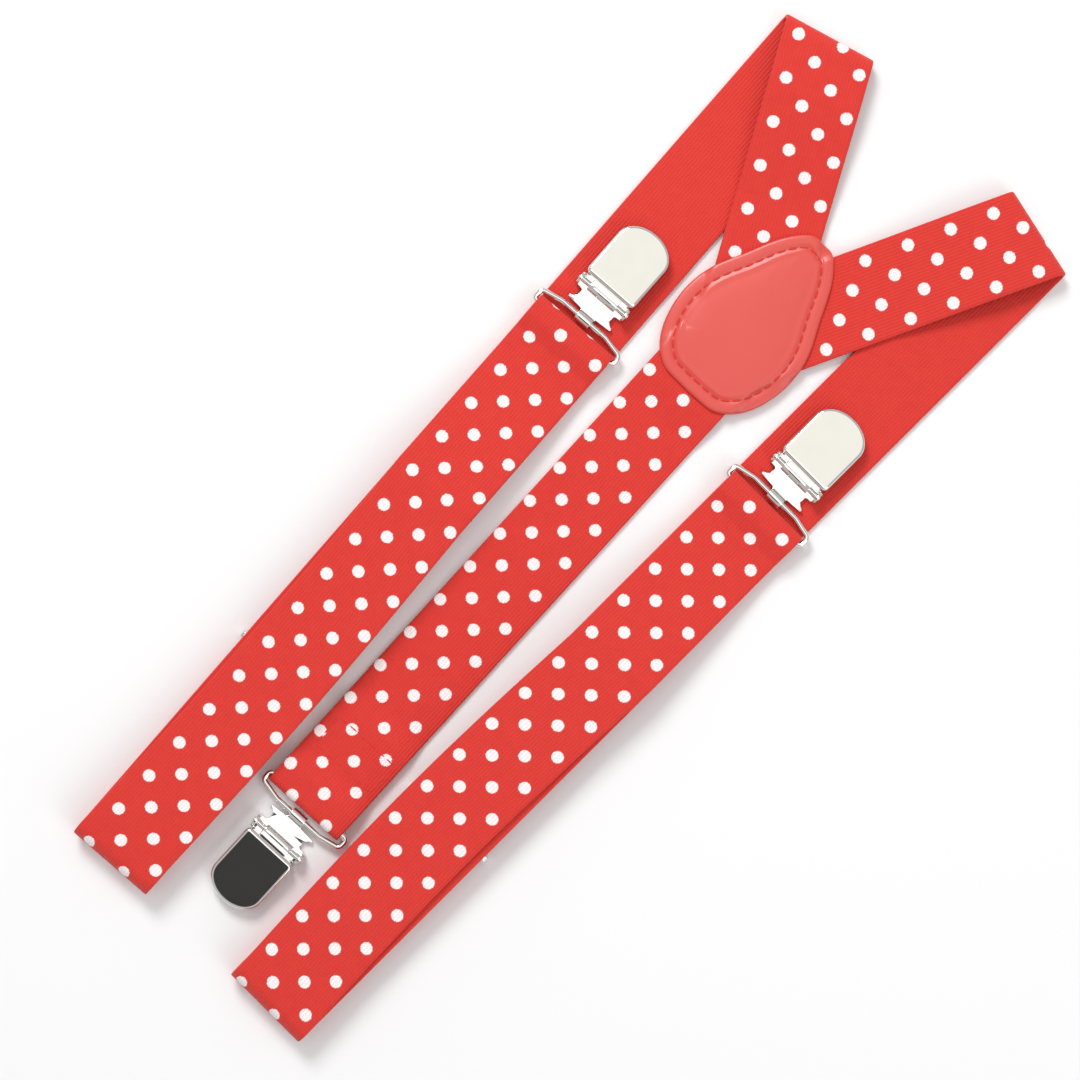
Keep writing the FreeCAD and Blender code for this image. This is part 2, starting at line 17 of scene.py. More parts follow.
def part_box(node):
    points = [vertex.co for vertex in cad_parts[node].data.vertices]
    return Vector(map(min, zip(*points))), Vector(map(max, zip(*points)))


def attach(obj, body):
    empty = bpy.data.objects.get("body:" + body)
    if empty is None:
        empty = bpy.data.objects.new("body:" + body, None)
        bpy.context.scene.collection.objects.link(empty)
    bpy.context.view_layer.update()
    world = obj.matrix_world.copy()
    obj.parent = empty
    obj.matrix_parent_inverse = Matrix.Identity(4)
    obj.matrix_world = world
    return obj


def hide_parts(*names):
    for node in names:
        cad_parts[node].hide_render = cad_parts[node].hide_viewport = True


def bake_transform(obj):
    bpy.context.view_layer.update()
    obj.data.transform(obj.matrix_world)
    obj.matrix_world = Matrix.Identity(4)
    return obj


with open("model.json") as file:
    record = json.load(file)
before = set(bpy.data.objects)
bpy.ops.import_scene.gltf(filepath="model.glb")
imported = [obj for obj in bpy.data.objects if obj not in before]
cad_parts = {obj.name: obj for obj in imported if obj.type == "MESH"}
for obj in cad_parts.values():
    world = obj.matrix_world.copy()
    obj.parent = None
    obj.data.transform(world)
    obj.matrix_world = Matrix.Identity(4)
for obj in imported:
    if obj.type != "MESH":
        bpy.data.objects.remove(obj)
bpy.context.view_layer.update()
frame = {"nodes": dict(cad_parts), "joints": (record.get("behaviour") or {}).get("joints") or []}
joints = {joint["name"]: joint for joint in frame["joints"]}
MM = 0.001

# %% [markdown]
# ## Places
#
# Every piece is modelled in millimetres in a small workshop frame of its own, then placed once. A clip's
# frame sits on the bar of its wire loop with +y towards the tip, so it is read from the engineering model's
# hinge: the hinge's axis is x, up is z, and y follows.

# %% Frames read from the hinges
UP = Vector((0, 0, 1))
LOOP_REACH = 4.3


def shift(x=0.0, y=0.0, z=0.0):
    return Matrix.Translation((x, y, z))


def frame_from(origin, across):
    """From a workshop frame in millimetres to the object's frame in metres."""
    across = Vector(across).normalized()
    onward = UP.cross(across)
    turn = Matrix((across, onward, UP)).transposed().to_4x4()
    return Matrix.Translation(origin) @ turn @ Matrix.Scale(MM, 4)


def clip_frame(word):
    hinge = joints[f"{word}_loop_hinge"]
    return frame_from(hinge["pos_m"], hinge["axis"])


def plate_frame(word):
    """The clip's frame moved to where the plate curls round the wire."""
    return clip_frame(word) @ shift(0, LOOP_REACH, 0)


def floor_frame(word):
    """The same frame dropped to the table, for the webbing that leads to the clip."""
    hinge = joints[f"{word}_loop_hinge"]
    x, y, _ = hinge["pos_m"]
    return frame_from((x, y, 0), hinge["axis"])


SIDES = {"left": -1, "right": 1}
WORDS = ("left", "right", "back")
print("loop heights in mm:", {word: round(joints[f"{word}_loop_hinge"]["pos_m"][2] / MM, 2) for word in WORDS})

# %% [markdown]
# ## Handing a piece over
#
# All shapes are built as a bmesh, Blender's editable mesh. One helper turns it into an object: it applies the
# place, points the faces outwards, marks the hard edges, gives the material, says which body carries the
# piece, and hides the plain nodes that it stands for.

# %% The helper that finishes a piece


def finish_piece(bm, name, place, material, body=None, replaced=(), slot=None, crease=40.0, outward=True):
    """Make the object."""
    bmesh.ops.transform(bm, matrix=place, verts=bm.verts)
    if outward:
        bmesh.ops.recalc_face_normals(bm, faces=bm.faces)
    mesh = bpy.data.meshes.new(name)
    bm.to_mesh(mesh)
    bm.free()
    mesh.materials.append(material)
    mesh.polygons.foreach_set("use_smooth", [True] * len(mesh.polygons))
    mesh.set_sharp_from_angle(angle=math.radians(crease))
    piece = bpy.data.objects.new(name, mesh)
    bpy.context.collection.objects.link(piece)
    if body:
        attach(piece, body)
    if replaced:
        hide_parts(*replaced)
    print(f"{name}: {len(mesh.polygons)} faces, off its nodes by {gap_to(piece, replaced)} mm")
    return piece


def gap_to(piece, nodes):
    """How far the piece's box lies from its nodes' box, at the worst side."""
    if not nodes:
        return 0.0
    boxes = [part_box(node) for node in nodes]
    points = [vert.co for vert in piece.data.vertices]
    gaps = []
    for axis in range(3):
        gaps.append(abs(min(p[axis] for p in points) - min(low[axis] for low, _ in boxes)))
        gaps.append(abs(max(p[axis] for p in points) - max(high[axis] for _, high in boxes)))
    return round(max(gaps) / MM, 2)


def rounded_edges(bm, edges, size, segments=3):
    """A small round on edges, as tumbling or moulding leaves it."""
    bmesh.ops.bevel(bm, geom=edges, offset=size, offset_type="OFFSET", segments=segments, profile=0.5,
                    affect="EDGES", material=-1, clamp_overlap=True)


def hard_edges(bm):
    return [edge for edge in bm.edges if len(edge.link_faces) == 2
            and edge.calc_face_angle() > math.radians(35)]


def verts_of(items):
    return [item for item in items if isinstance(item, bmesh.types.BMVert)]


def spun(points, axis, steps):
    """Spin a chain of points a full turn round an axis through the origin."""
    bm = bmesh.new()
    chain = [bm.verts.new(point) for point in points]
    edges = [bm.edges.new(pair) for pair in zip(chain, chain[1:])]
    bmesh.ops.spin(bm, geom=chain + edges, cent=(0, 0, 0), axis=axis, angle=2 * math.pi, steps=steps,
                   use_merge=True)
    bmesh.ops.remove_doubles(bm, verts=bm.verts, dist=1e-4)
    return bm


def close_holes(bm):
    bmesh.ops.holes_fill(bm, edges=[edge for edge in bm.edges if edge.is_boundary], sides=0)


# %% [markdown]
# ## Materials
#
# Each finish is a small node graph. Patterns on the webbing follow its own UV map, measured in metres along
# and across the strip, so they bend with the cloth; patterns on hard parts read Object coordinates.

# %% Helpers for node graphs


class Graph:
    """A material's nodes, with short calls for the ones used here."""

    def __init__(self, name):
        self.material = bpy.data.materials.new(name)
        self.material.use_nodes = True
        self.tree = self.material.node_tree
        self.shader = self.tree.nodes["Principled BSDF"]

    def node(self, kind, **settings):
        made = self.tree.nodes.new(kind)
        for key, value in settings.items():
            setattr(made, key, value)
        return made

    def feed(self, socket, value):
        if hasattr(value, "is_output"):
            self.tree.links.new(value, socket)
        else:
            socket.default_value = value

    def math(self, operation, first, second=0.0, third=None):
        made = self.node("ShaderNodeMath", operation=operation)
        self.feed(made.inputs[0], first)
        self.feed(made.inputs[1], second)
        if third is not None:
            self.feed(made.inputs[2], third)
        return made.outputs[0]

    def ramp(self, value, low, high):
        """A smooth step from 0 at low to 1 at high."""
        made = self.node("ShaderNodeMapRange", interpolation_type="SMOOTHSTEP")
        for socket, number in zip(made.inputs, (value, low, high)):
            self.feed(socket, number)
        return made.outputs[0]

    def mix(self, amount, first, second):
        made = self.node("ShaderNodeMix", data_type="RGBA")
        self.feed(made.inputs[0], amount)
        self.feed(made.inputs[6], first)
        self.feed(made.inputs[7], second)
        return made.outputs[2]

    def uv(self, name):
        made = self.node("ShaderNodeUVMap", uv_map=name)
        parts = self.node("ShaderNodeSeparateXYZ")
        self.tree.links.new(made.outputs[0], parts.inputs[0])
        return parts.outputs[0], parts.outputs[1]

    def noise(self, scale, detail=2.0):
        """Noise in object space; the scale counts blobs per metre."""
        place = self.node("ShaderNodeTexCoord")
        made = self.node("ShaderNodeTexNoise")
        self.tree.links.new(place.outputs["Object"], made.inputs["Vector"])
        made.inputs["Scale"].default_value = scale
        made.inputs["Detail"].default_value = detail
        return made.outputs[0]

    def bump(self, height, depth, strength):
        made = self.node("ShaderNodeBump")
        made.inputs["Strength"].default_value = strength
        made.inputs["Distance"].default_value = depth
        self.tree.links.new(height, made.inputs["Height"])
        self.tree.links.new(made.outputs[0], self.shader.inputs["Normal"])

    def set(self, **values):
        for key, value in values.items():
            self.feed(self.shader.inputs[key.replace("_", " ")], value)


# %% [markdown]
# ### Webbing
#
# Real suspender elastic is a narrow woven tape: fine ribs run along it, a pick crosses them about every half
# millimetre, and the two edges are a denser selvage that carries no dots. The dots are a jacquard or print in
# a square lattice turned by 45 degrees. A second UV map holds that lattice in steps of half its pitch, so a
# dot sits wherever both numbers are whole and their sum is even. Adding and subtracting the two turns that
# rule into two plain roundings.

# %% The dotted webbing
RIB = 0.00085
PICK = 0.0006
DOT_RADIUS = 1.6
DOT_STEP = 5.9
SELVAGE = 12.1
EDGE_COLUMN = 12.0
RED = (0.68, 0.036, 0.024, 1)
DEEP_RED = (0.60, 0.026, 0.019, 1)
WHITE = (0.93, 0.91, 0.90, 1)


def dot_mask(g, u):
    """1 inside a dot and 0 outside, with a slightly ragged edge; columns too near a selvage are left out."""
    p, q = g.uv("dots")
    halves = [g.math("MULTIPLY", g.math(way, p, q), 0.5) for way in ("ADD", "SUBTRACT")]
    offs = [g.math("SUBTRACT", value, g.math("ROUND", value)) for value in halves]
    across = g.math("MULTIPLY", g.math("ADD", *offs), DOT_STEP)
    along = g.math("MULTIPLY", g.math("SUBTRACT", *offs), DOT_STEP)
    away = g.math("SQRT", g.math("ADD", g.math("MULTIPLY", across, across), g.math("MULTIPLY", along, along)))
    frayed = g.math("ADD", away, g.math("MULTIPLY", g.math("SUBTRACT", g.noise(2600.0), 0.5), 0.55))
    column = g.math("ABSOLUTE", g.math("MULTIPLY_ADD", u, 1 / MM, across))
    whole = g.ramp(column, EDGE_COLUMN + 0.05, EDGE_COLUMN - 0.05)
    return g.math("MULTIPLY", whole, g.ramp(frayed, DOT_RADIUS + 0.16, DOT_RADIUS - 0.16))


def webbing_material():
    g = Graph("dotted_webbing")
    u, v = g.uv("weave")
    rib = g.math("SINE", g.math("MULTIPLY", u, 2 * math.pi / RIB))
    pick = g.math("SINE", g.math("MULTIPLY_ADD", v, 2 * math.pi / PICK, g.math("MULTIPLY", rib, 1.1)))
    weave = g.math("MULTIPLY_ADD", pick, 0.35, g.math("MULTIPLY", rib, 0.65))
    inside = g.ramp(g.math("ABSOLUTE", u), (SELVAGE + 0.1) * MM, (SELVAGE - 0.1) * MM)
    printed = g.node("ShaderNodeAttribute", attribute_name="printed").outputs["Fac"]
    dots = g.math("MULTIPLY", g.math("MULTIPLY", dot_mask(g, u), inside), printed)
    patchy = g.math("MULTIPLY_ADD", g.noise(420.0, 4.0), 0.9, g.math("MULTIPLY_ADD", weave, 0.16, -0.1))
    cloth = g.mix(patchy, RED, DEEP_RED)
    thread_white = g.mix(g.math("MULTIPLY_ADD", weave, -0.12, 0.1), WHITE, RED)
    g.set(Base_Color=g.mix(dots, cloth, thread_white), Roughness=0.72, Sheen_Weight=0.12)
    g.shader.inputs["Specular IOR Level"].default_value = 0.3
    height = g.math("MULTIPLY_ADD", dots, 0.5, weave)
    g.bump(height, 0.00007, 0.8)
    return g.material


WEBBING = webbing_material()

# %% [markdown]
# ### Patch leather, thread, plating and plastic
#
# The patch is smooth coated leather: a soft gloss over a fine pebble grain. Thread is matte with a twist. The
# metal is bright nickel; its faint haze is noise that hardly touches anything but the roughness, which is
# what keeps a mirror from looking like glass. The grip pads are moulded plastic.

# %% The other finishes


def leather_material():
    g = Graph("patch_leather")
    grain = g.noise(1500.0, 3.0)
    cloud = g.noise(90.0, 2.0)
    g.set(Base_Color=g.mix(cloud, (0.64, 0.062, 0.046, 1), (0.68, 0.074, 0.056, 1)))
    g.set(Roughness=g.math("MULTIPLY_ADD", cloud, 0.12, 0.30), Coat_Weight=0.25, Coat_Roughness=0.35)
    g.bump(g.math("MULTIPLY_ADD", cloud, 0.6, grain), 0.00005, 0.55)
    return g.material


def thread_material():
    g = Graph("red_thread")
    g.set(Base_Color=g.mix(g.noise(2500.0), (0.60, 0.034, 0.024, 1), (0.66, 0.050, 0.038, 1)), Roughness=0.7)
    g.shader.inputs["Specular IOR Level"].default_value = 0.25
    g.bump(g.noise(5200.0, 1.0), 0.00004, 0.8)
    return g.material


def nickel_material():
    g = Graph("bright_nickel")
    marks = g.noise(900.0, 2.0)
    haze = g.noise(160.0, 2.0)
    rough = g.math("MULTIPLY_ADD", haze, 0.03, g.math("MULTIPLY_ADD", marks, 0.03, 0.04))
    g.set(Base_Color=g.mix(haze, (0.80, 0.785, 0.75, 1), (0.86, 0.845, 0.81, 1)), Metallic=1.0, Roughness=rough)
    g.bump(haze, 0.00002, 0.08)
    return g.material


def plastic_material():
    g = Graph("grip_plastic")
    cloud = g.noise(300.0, 2.0)
    g.set(Base_Color=g.mix(cloud, (0.78, 0.77, 0.73, 1), (0.70, 0.69, 0.65, 1)), Roughness=0.42)
    g.bump(g.noise(2400.0), 0.00003, 0.5)
    return g.material


LEATHER = leather_material()
THREAD = thread_material()
NICKEL = nickel_material()
PLASTIC = plastic_material()


def metal_piece(bm, word, name, place, body, node, **more):
    """A nickel piece whose name, body and node all start with the same word."""
    return finish_piece(bm, f"{word}_{name}", place, NICKEL, f"{word}_{body}", [f"{word}_{node}"], "nickel", **more)


print("materials:", len(bpy.data.materials))

# %% [markdown]
# ## A strip that folds
#
# Webbing is cut flat and then folded, so it is modelled that way: a long closed strip is made flat, its UVs
# are measured while it is flat, and a list of folds is applied from the far end back. A fold wraps the strip
# round a cylinder, so no length is lost and the dots stay round. The same tool bends the metal tabs.
#
# The strip starts as one grid whose columns are wrapped round the tape's rounded cross-section and whose
# rows are placed closely at the folds and far apart between them.

# %% The flat strip
WEB_WIDTH = 25.0
WEB_THICK = 1.1


def section(width, thick, corner, columns):
    """The strip's cross-section, anticlockwise, with rounded corners and columns across its wide faces."""
    ring = []
    for quarter in range(4):
        side_x = 1 if quarter in (0, 3) else -1
        side_z = 1 if quarter in (0, 1) else -1
        for step in range(4):
            angle = math.radians(90 * quarter + 30 * step)
            x = side_x * (width / 2 - corner) + corner * math.cos(angle)
            ring.append((x, side_z * (thick / 2 - corner) + corner * math.sin(angle)))
        if quarter in (0, 2):
            flat = side_x * (width / 2 - corner)
            ring += [(flat - 2 * flat * k / columns, side_z * thick / 2) for k in range(1, columns)]
    return ring


def flat_strip(rows, width, thick, corner=0.38, columns=20):
    """A closed strip along +y with a row of vertices at each distance in rows."""
    ring = section(width, thick, corner, columns)
    bm = bmesh.new()
    around, lengths = len(ring), len(rows) - 1
    bmesh.ops.create_grid(bm, x_segments=around, y_segments=lengths, size=0.5)
    for vert in bm.verts:
        i = round((vert.co.x + 0.5) * around) % around
        j = round((vert.co.y + 0.5) * lengths)
        vert.co = (ring[i][0], rows[j], ring[i][1])
    bmesh.ops.remove_doubles(bm, verts=bm.verts, dist=1e-4)
    close_holes(bm)
    return bm


def fold_rows(folds, length, fine=14, coarse=6.0):
    """Row distances: close together through each fold, and a few millimetres apart elsewhere."""
    rows = {0.0, length}
    marks = [0.0]
    for start, turn, radius, skew in folds:
        wrap = radius * abs(turn) / math.cos(skew)
        slant = WEB_WIDTH / 2 * abs(math.tan(skew))
        first, last = start - slant, start + wrap + slant
        steps = max(4, round(fine * abs(turn) / math.pi) + round(2.6 * slant))
        rows.update(first + (last - first) * k / steps for k in range(steps + 1))
        marks += [first, last]
    marks.append(length)
    for first, last in zip(marks[::2], marks[1::2]):
        steps = max(1, math.ceil((last - first) / coarse))
        rows.update(first + (last - first) * k / steps for k in range(steps + 1))
    ordered = sorted(rows)
    return [a for a, b in zip(ordered, ordered[1:] + [math.inf]) if b - a > 0.02]


def fold_up(bm, folds):
    """Wrap the flat strip round each fold's cylinder, the farthest fold first."""
    flat = {vert: vert.co.copy() for vert in bm.verts}
    for start, turn, radius, skew in reversed(folds):
        axis = Vector((math.cos(skew), math.sin(skew), 0))
        onward = Vector((-math.sin(skew), math.cos(skew), 0))
        sign = 1 if turn > 0 else -1
        centre = Vector((0, start, sign * radius))
        for vert, rest in flat.items():
            reach = (rest - Vector((0, start, 0))).dot(onward)
            if reach > 0:
                wrapped = min(reach, radius * abs(turn))
                turned = Matrix.Rotation(sign * wrapped / radius, 3, axis)
                vert.co = centre + turned @ (vert.co - onward * wrapped - centre)


# %% [markdown]
# ### From a side view to folds
#
# A strap is easiest to plan from the side, as a list of corners (distance, height, corner radius). One
# function turns each corner into a fold: where it starts along the strip, how far it turns towards the
# strip's upper face, and its radius.

# %% Folds from a side view


def folds_from(route, start=0.0):
    """The folds of a side view, and the length of strip that it takes."""
    folds = []
    at = start
    before_reach = 0.0
    for before, here, after in zip(route, route[1:], route[2:]):
        way_in = Vector(here[:2]) - Vector(before[:2])
        way_out = Vector(after[:2]) - Vector(here[:2])
        turn = -math.atan2(way_in.x * way_out.y - way_in.y * way_out.x, way_in.dot(way_out))
        reach = here[2] * math.tan(abs(turn) / 2)
        at += way_in.length - before_reach - reach
        folds.append((at, turn, here[2], 0.0))
        at += here[2] * abs(turn)
        before_reach = reach
    last = Vector(route[-1][:2]) - Vector(route[-2][:2])
    return folds, at + last.length - before_reach


def laid_from(y, z, towards):
    """Lay a flat strip down starting at (y, z), running towards +y (1) or -y (-1)."""
    if towards < 0:
        return shift(0, y, z) @ Matrix.Rotation(math.pi, 4, "Z")
    return shift(0, y, z) @ Matrix.Rotation(math.pi, 4, "Y")


# %% [markdown]
# ### Dots along a strap
#
# Each stretch of strap has a lattice pitch and a lattice start, both across and along the tape. Elastic gives
# a little, so the lattice may be stretched by a percent or two where the strap is out of sight, and that lets
# both ends of one long strap start where they should.

# %% Writing the two UV maps


def write_maps(bm, dot_place, printed_side):
    """UVs measured while the strip is flat: metres for the weave, lattice steps for the dots."""
    weave = bm.loops.layers.uv.new("weave")
    dots = bm.loops.layers.uv.new("dots")
    printed = bm.verts.layers.float.new("printed")
    for vert in bm.verts:
        vert[printed] = 1.0 if vert.co.z * printed_side > 0 else 0.0
    for face in bm.faces:
        for loop in face.loops:
            x, y, _ = loop.vert.co
            loop[weave].uv = (x * MM, y * MM)
            loop[dots].uv = dot_place(x, y)


def blended_webbing(name, folds, length, place, replaced, dot_place, width=WEB_WIDTH):
    bm = flat_strip(fold_rows(folds, length), width, WEB_THICK)
    write_maps(bm, dot_place, -1)
    fold_up(bm, folds)
    return finish_piece(bm, name, place, WEBBING, None, replaced, "webbing", crease=60.0)


# %% [markdown]
# ## Side straps
#
# Each side strap is one long tape. From the sewn end it goes round the bottom fold as the inner ply, up to
# the clip, round the clip's wire, back down as the outer ply, round the bottom fold again, along the table
# to the slanted top fold, and down to the patch. The heights below stack the plies with a hair of air
# between them.

# %% The side straps' route
GAP = 0.1
STEP = WEB_THICK + GAP
LEVEL = WEB_THICK / 2
BIGHT = 1.45
LOOP_Z = 3.2
STRAP_BAR_Y = 184.1
FOLD_TOP = 8.1 - LEVEL
FOLD_MIDDLE = 8.1 / 2
TRAVEL = (38.0, 130.0)
RETURN_SPLIT = 5.0

STRAP_ROUTE = [
    (RETURN_SPLIT, LEVEL + STEP, 0),
    (LEVEL + STEP, LEVEL + STEP, FOLD_MIDDLE - LEVEL - STEP),
    (LEVEL + STEP, FOLD_TOP - STEP, FOLD_MIDDLE - LEVEL - STEP),
    (TRAVEL[1], FOLD_TOP - STEP, 20),
    (170.0, LEVEL + STEP, 12),
    (STRAP_BAR_Y + BIGHT, LOOP_Z - BIGHT, BIGHT),
    (STRAP_BAR_Y + BIGHT, LOOP_Z + BIGHT, BIGHT),
    (180.5, LOOP_Z + BIGHT, 5),
    (176.0, LEVEL + 2 * STEP, 5),
    (170.0, LEVEL + 2 * STEP, 12),
    (TRAVEL[1], FOLD_TOP, 20),
    (LEVEL, FOLD_TOP, FOLD_MIDDLE - LEVEL),
    (LEVEL, LEVEL, FOLD_MIDDLE - LEVEL),
    (TRAVEL[0] - 8, LEVEL, 8),
    (TRAVEL[0], LEVEL + WEB_THICK, 8),
    (TRAVEL[1], LEVEL + WEB_THICK, 8),
    (TRAVEL[1] + 8, LEVEL, 8),
    (200.0, LEVEL, 0),
]
strap_folds, strap_reach = folds_from(STRAP_ROUTE)
print("folds along the run:", len(strap_folds), "reach in mm:", round(strap_reach))

# %% [markdown]
# ### The slanted fold and the arm
#
# At the top the tape folds over a line that isn't square to it, which is what turns it towards the patch.
# The fold's slant is half the angle between the run and the arm. The arm then slopes down until it lies one
# leather thickness off the table.

# %% The top fold and the arm
RUN_LEAN = math.radians(2.0)
ARM_LEAN = math.radians(26.9)
FOOT_X = 27.66
TOP_Y = 286.1
TOP_RADIUS = 5.5 / 2 - LEVEL
SLANT = (ARM_LEAN - RUN_LEAN) / 2
RUN_LENGTH = TOP_Y / math.cos(RUN_LEAN)
ARM_LENGTH = (FOOT_X + math.tan(RUN_LEAN) * TOP_Y) / math.sin(ARM_LEAN)
TOP_BACK = (5.5 / 2) / math.cos(SLANT)

fold_at = strap_reach - 200.0 + RUN_LENGTH - TOP_BACK
fold_wrap = math.pi * TOP_RADIUS / math.cos(SLANT)
arm_at = fold_at + fold_wrap
ARM_Z = 5.5 - LEVEL
ARM_ROUTE = [(ARM_LENGTH - TOP_BACK, ARM_Z, 0), (ARM_LENGTH - 17.0, ARM_Z, 12), (38.0, LEVEL + STEP, 12),
             (-14.0, LEVEL + STEP, 0)]
arm_folds, strap_length = folds_from(ARM_ROUTE, arm_at)
print("one side strap is", round(strap_length), "mm of webbing")

# %% [markdown]
# ### Where the dots fall on the side straps
#
# The front run and the arm each have a lattice start; in between, on the table side, the lattice is
# interpolated. The lattice repeats when both its numbers step by one, so the arm's start is first moved by
# whole steps to the equivalent start that is nearest to the run's.

# %% The side straps' dots
RUN_DOTS = {"left": (5.98, 5.82, -1.7, -4.5), "right": (6.0, 5.85, -3.2, -4.75)}
ARM_DOTS = {"left": (6.05, 5.89, 3.7, -1.2), "right": (6.1, 5.88, 3.5, 2.6)}
bottom_at = strap_folds[10][0]
hidden_from = bottom_at + 12.0
hidden_to = fold_at - 4.0


def side_dots(word):
    """A function from flat (x, y) to the dot lattice, for one side strap."""
    run_across, run_along, run_x, run_y = RUN_DOTS[word]
    arm_across, arm_along, arm_x, arm_y = ARM_DOTS[word]
    jump = round((run_x - arm_x) / arm_across)
    arm_x, arm_y = arm_x + jump * arm_across, arm_y + jump * arm_along

    def run_row(y):
        return (FOLD_MIDDLE + bottom_at - y - run_y) / run_along

    def arm_row(y):
        return (ARM_LENGTH - TOP_BACK - (y - arm_at) - arm_y) / arm_along

    natural = run_row(hidden_from) - (hidden_to - hidden_from) / 5.85
    whole = 2 * round((natural - arm_row(hidden_to)) / 2)

    def place(x, y):
        share = min(max((y - hidden_from) / (hidden_to - hidden_from), 0.0), 1.0)
        column = (1 - share) * (-x - run_x) / run_across + share * (-x - arm_x) / arm_across
        if share <= 0:
            return column, run_row(y)
        if share >= 1:
            return column, arm_row(y) + whole
        return column, (1 - share) * run_row(hidden_from) + share * (arm_row(hidden_to) + whole)

    return place


# %% [markdown]
# ### Making the straps
#
# The two arms meet in a mitre under the patch, so each strap is trimmed there by two planes. The trim happens
# after folding, with the plane cut that Blender calls bisect, and the opening it leaves is filled.

# %% Make both side straps
MIDDLE_Y = STRAP_BAR_Y * math.cos(RUN_LEAN) - joints["left_loop_hinge"]["pos_m"][1] / MM
PATCH_SEAM_Y = 205.0


def trim_arm(bm, rest, point, outward):
    """Cut away the part of the arm that lies beyond a plane, and close the cut."""
    faces = [face for face in bm.faces if min(vert[rest] for vert in face.verts) > arm_at - 0.1]
    edges = dict.fromkeys(edge for face in faces for edge in face.edges)
    verts = dict.fromkeys(vert for face in faces for vert in face.verts)
    bmesh.ops.bisect_plane(bm, geom=[*verts, *edges, *faces], plane_co=point, plane_no=outward, clear_outer=True)
    close_holes(bm)


BOW = {"left": 1.2, "right": 2.0}
front_from = strap_folds[9][0] + strap_folds[9][2] * abs(strap_folds[9][1])


def bow_front(bm, rest, word):
    """Let the long front ply bow inwards a little, as slack elastic does, so the ply under it shows."""
    for vert in bm.verts:
        share = (vert[rest] - front_from) / (bottom_at - front_from)
        if 0 < share < 1:
            vert.co.x += SIDES[word] * BOW[word] * math.sin(math.pi * share)


def side_strap(word):
    side = SIDES[word]
    folds = strap_folds + [(fold_at, -math.pi, TOP_RADIUS, side * SLANT)] + arm_folds
    bm = flat_strip(fold_rows(folds, strap_length), WEB_WIDTH, WEB_THICK)
    write_maps(bm, side_dots(word), 1)
    rest = bm.verts.layers.float.new("rest")
    for vert in bm.verts:
        vert[rest] = vert.co.y
    fold_up(bm, folds)
    bow_front(bm, rest, word)
    place = floor_frame(word) @ shift(0, -STRAP_BAR_Y, 0) @ laid_from(RETURN_SPLIT, LEVEL + STEP, -1)
    bmesh.ops.transform(bm, matrix=place, verts=bm.verts)
    trim_arm(bm, rest, Vector((side * 0.05 * MM, 0, 0)), Vector((-side, 0, 0)))
    trim_arm(bm, rest, Vector((0, (PATCH_SEAM_Y - MIDDLE_Y) * MM, 0)), Vector((0, -1, 0)))
    strap = finish_piece(bm, f"{word}_strap_webbing", Matrix.Identity(4), WEBBING, "webbing",
                         [f"{word}_strap"], "webbing", crease=60.0)
    return strap


for word in SIDES:
    side_strap(word)

# %% [markdown]
# ## The sewn ends
#
# The tape's own end is sewn round the adjuster's middle bar, out of sight. It is a separate piece because it
# reaches from the strap to the adjuster: as the adjuster slides, this stretch of elastic grows.

# %% The ends on the adjusters
ADJUSTER_Y = 68.0
UNDER = LEVEL + STEP + WEB_THICK
OVER = UNDER + 2.1
END_ROUTE = [
    (RETURN_SPLIT + 0.1, LEVEL + STEP, 0),
    (TRAVEL[0] - 8, LEVEL + STEP, 8),
    (TRAVEL[0], UNDER, 8),
    (ADJUSTER_Y + 1.8, UNDER, 1.05),
    (ADJUSTER_Y + 1.8, OVER, 1.05),
    (ADJUSTER_Y - 3.0, OVER, 5),
    (ADJUSTER_Y - 8.0, UNDER + STEP, 5),
    (ADJUSTER_Y - 21.0, UNDER + STEP, 0),
]
end_folds, end_length = folds_from(END_ROUTE)


def plain_dots(x, y):
    return x / DOT_STEP, y / DOT_STEP


for word in SIDES:
    place = floor_frame(word) @ shift(0, -STRAP_BAR_Y, 0)
    laid = place @ laid_from(RETURN_SPLIT + 0.1, LEVEL + STEP, 1)
    end = blended_webbing(f"{word}_strap_tail", end_folds, end_length, laid, [f"{word}_strap_end"], plain_dots)
    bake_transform(end)

# %% [markdown]
# ## The back strap
#
# The back strap leaves the patch, lies on the table, and folds round its wire with a short tail underneath.
# Elastic stretches along its whole length; this one tape is made in one piece from the patch to its clip.

# %% The back strap
BACK_BAR_Y = 46.3
BACK_WIDTH = 24.2
BACK_LOOP_Z = 2.0
BACK_TAIL = 24.5
BACK_ASIDE = -0.5
BACK_DOTS = (5.95, 5.82, -4.5, -0.7)
BACK_ROUTE = [
    (BACK_TAIL, LEVEL, 0),
    (-BIGHT, BACK_LOOP_Z - BIGHT, BIGHT),
    (-BIGHT, BACK_LOOP_Z + BIGHT, BIGHT),
    (6.0, BACK_LOOP_Z + BIGHT, 5),
    (11.0, LEVEL + STEP, 5),
    (26.0, LEVEL + STEP, 6),
    (32.0, LEVEL, 6),
    (183.0 - BACK_BAR_Y, LEVEL, 6),
    (191.0 - BACK_BAR_Y, LEVEL + STEP, 6),
    (204.8 - BACK_BAR_Y, LEVEL + STEP, 0),
]
back_folds, back_length = folds_from(BACK_ROUTE)
back_bight = back_folds[1][0] + BIGHT * math.pi / 2
back_turn = Matrix.Rotation(math.pi, 4, "Z")
back_place = floor_frame("back") @ back_turn


def back_dots(x, y):
    across, along, start_x, start_y = BACK_DOTS
    return (-x - start_x) / across, (y - back_bight - start_y) / along


back_laid = back_place @ shift(BACK_ASIDE) @ laid_from(BACK_TAIL, LEVEL, -1)
back = blended_webbing("back_strap_webbing", back_folds, back_length, back_laid, ["back_strap", "back_strap_end"],
                       back_dots, BACK_WIDTH)
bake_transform(back)
print("back strap:", round(back_length), "mm of webbing")

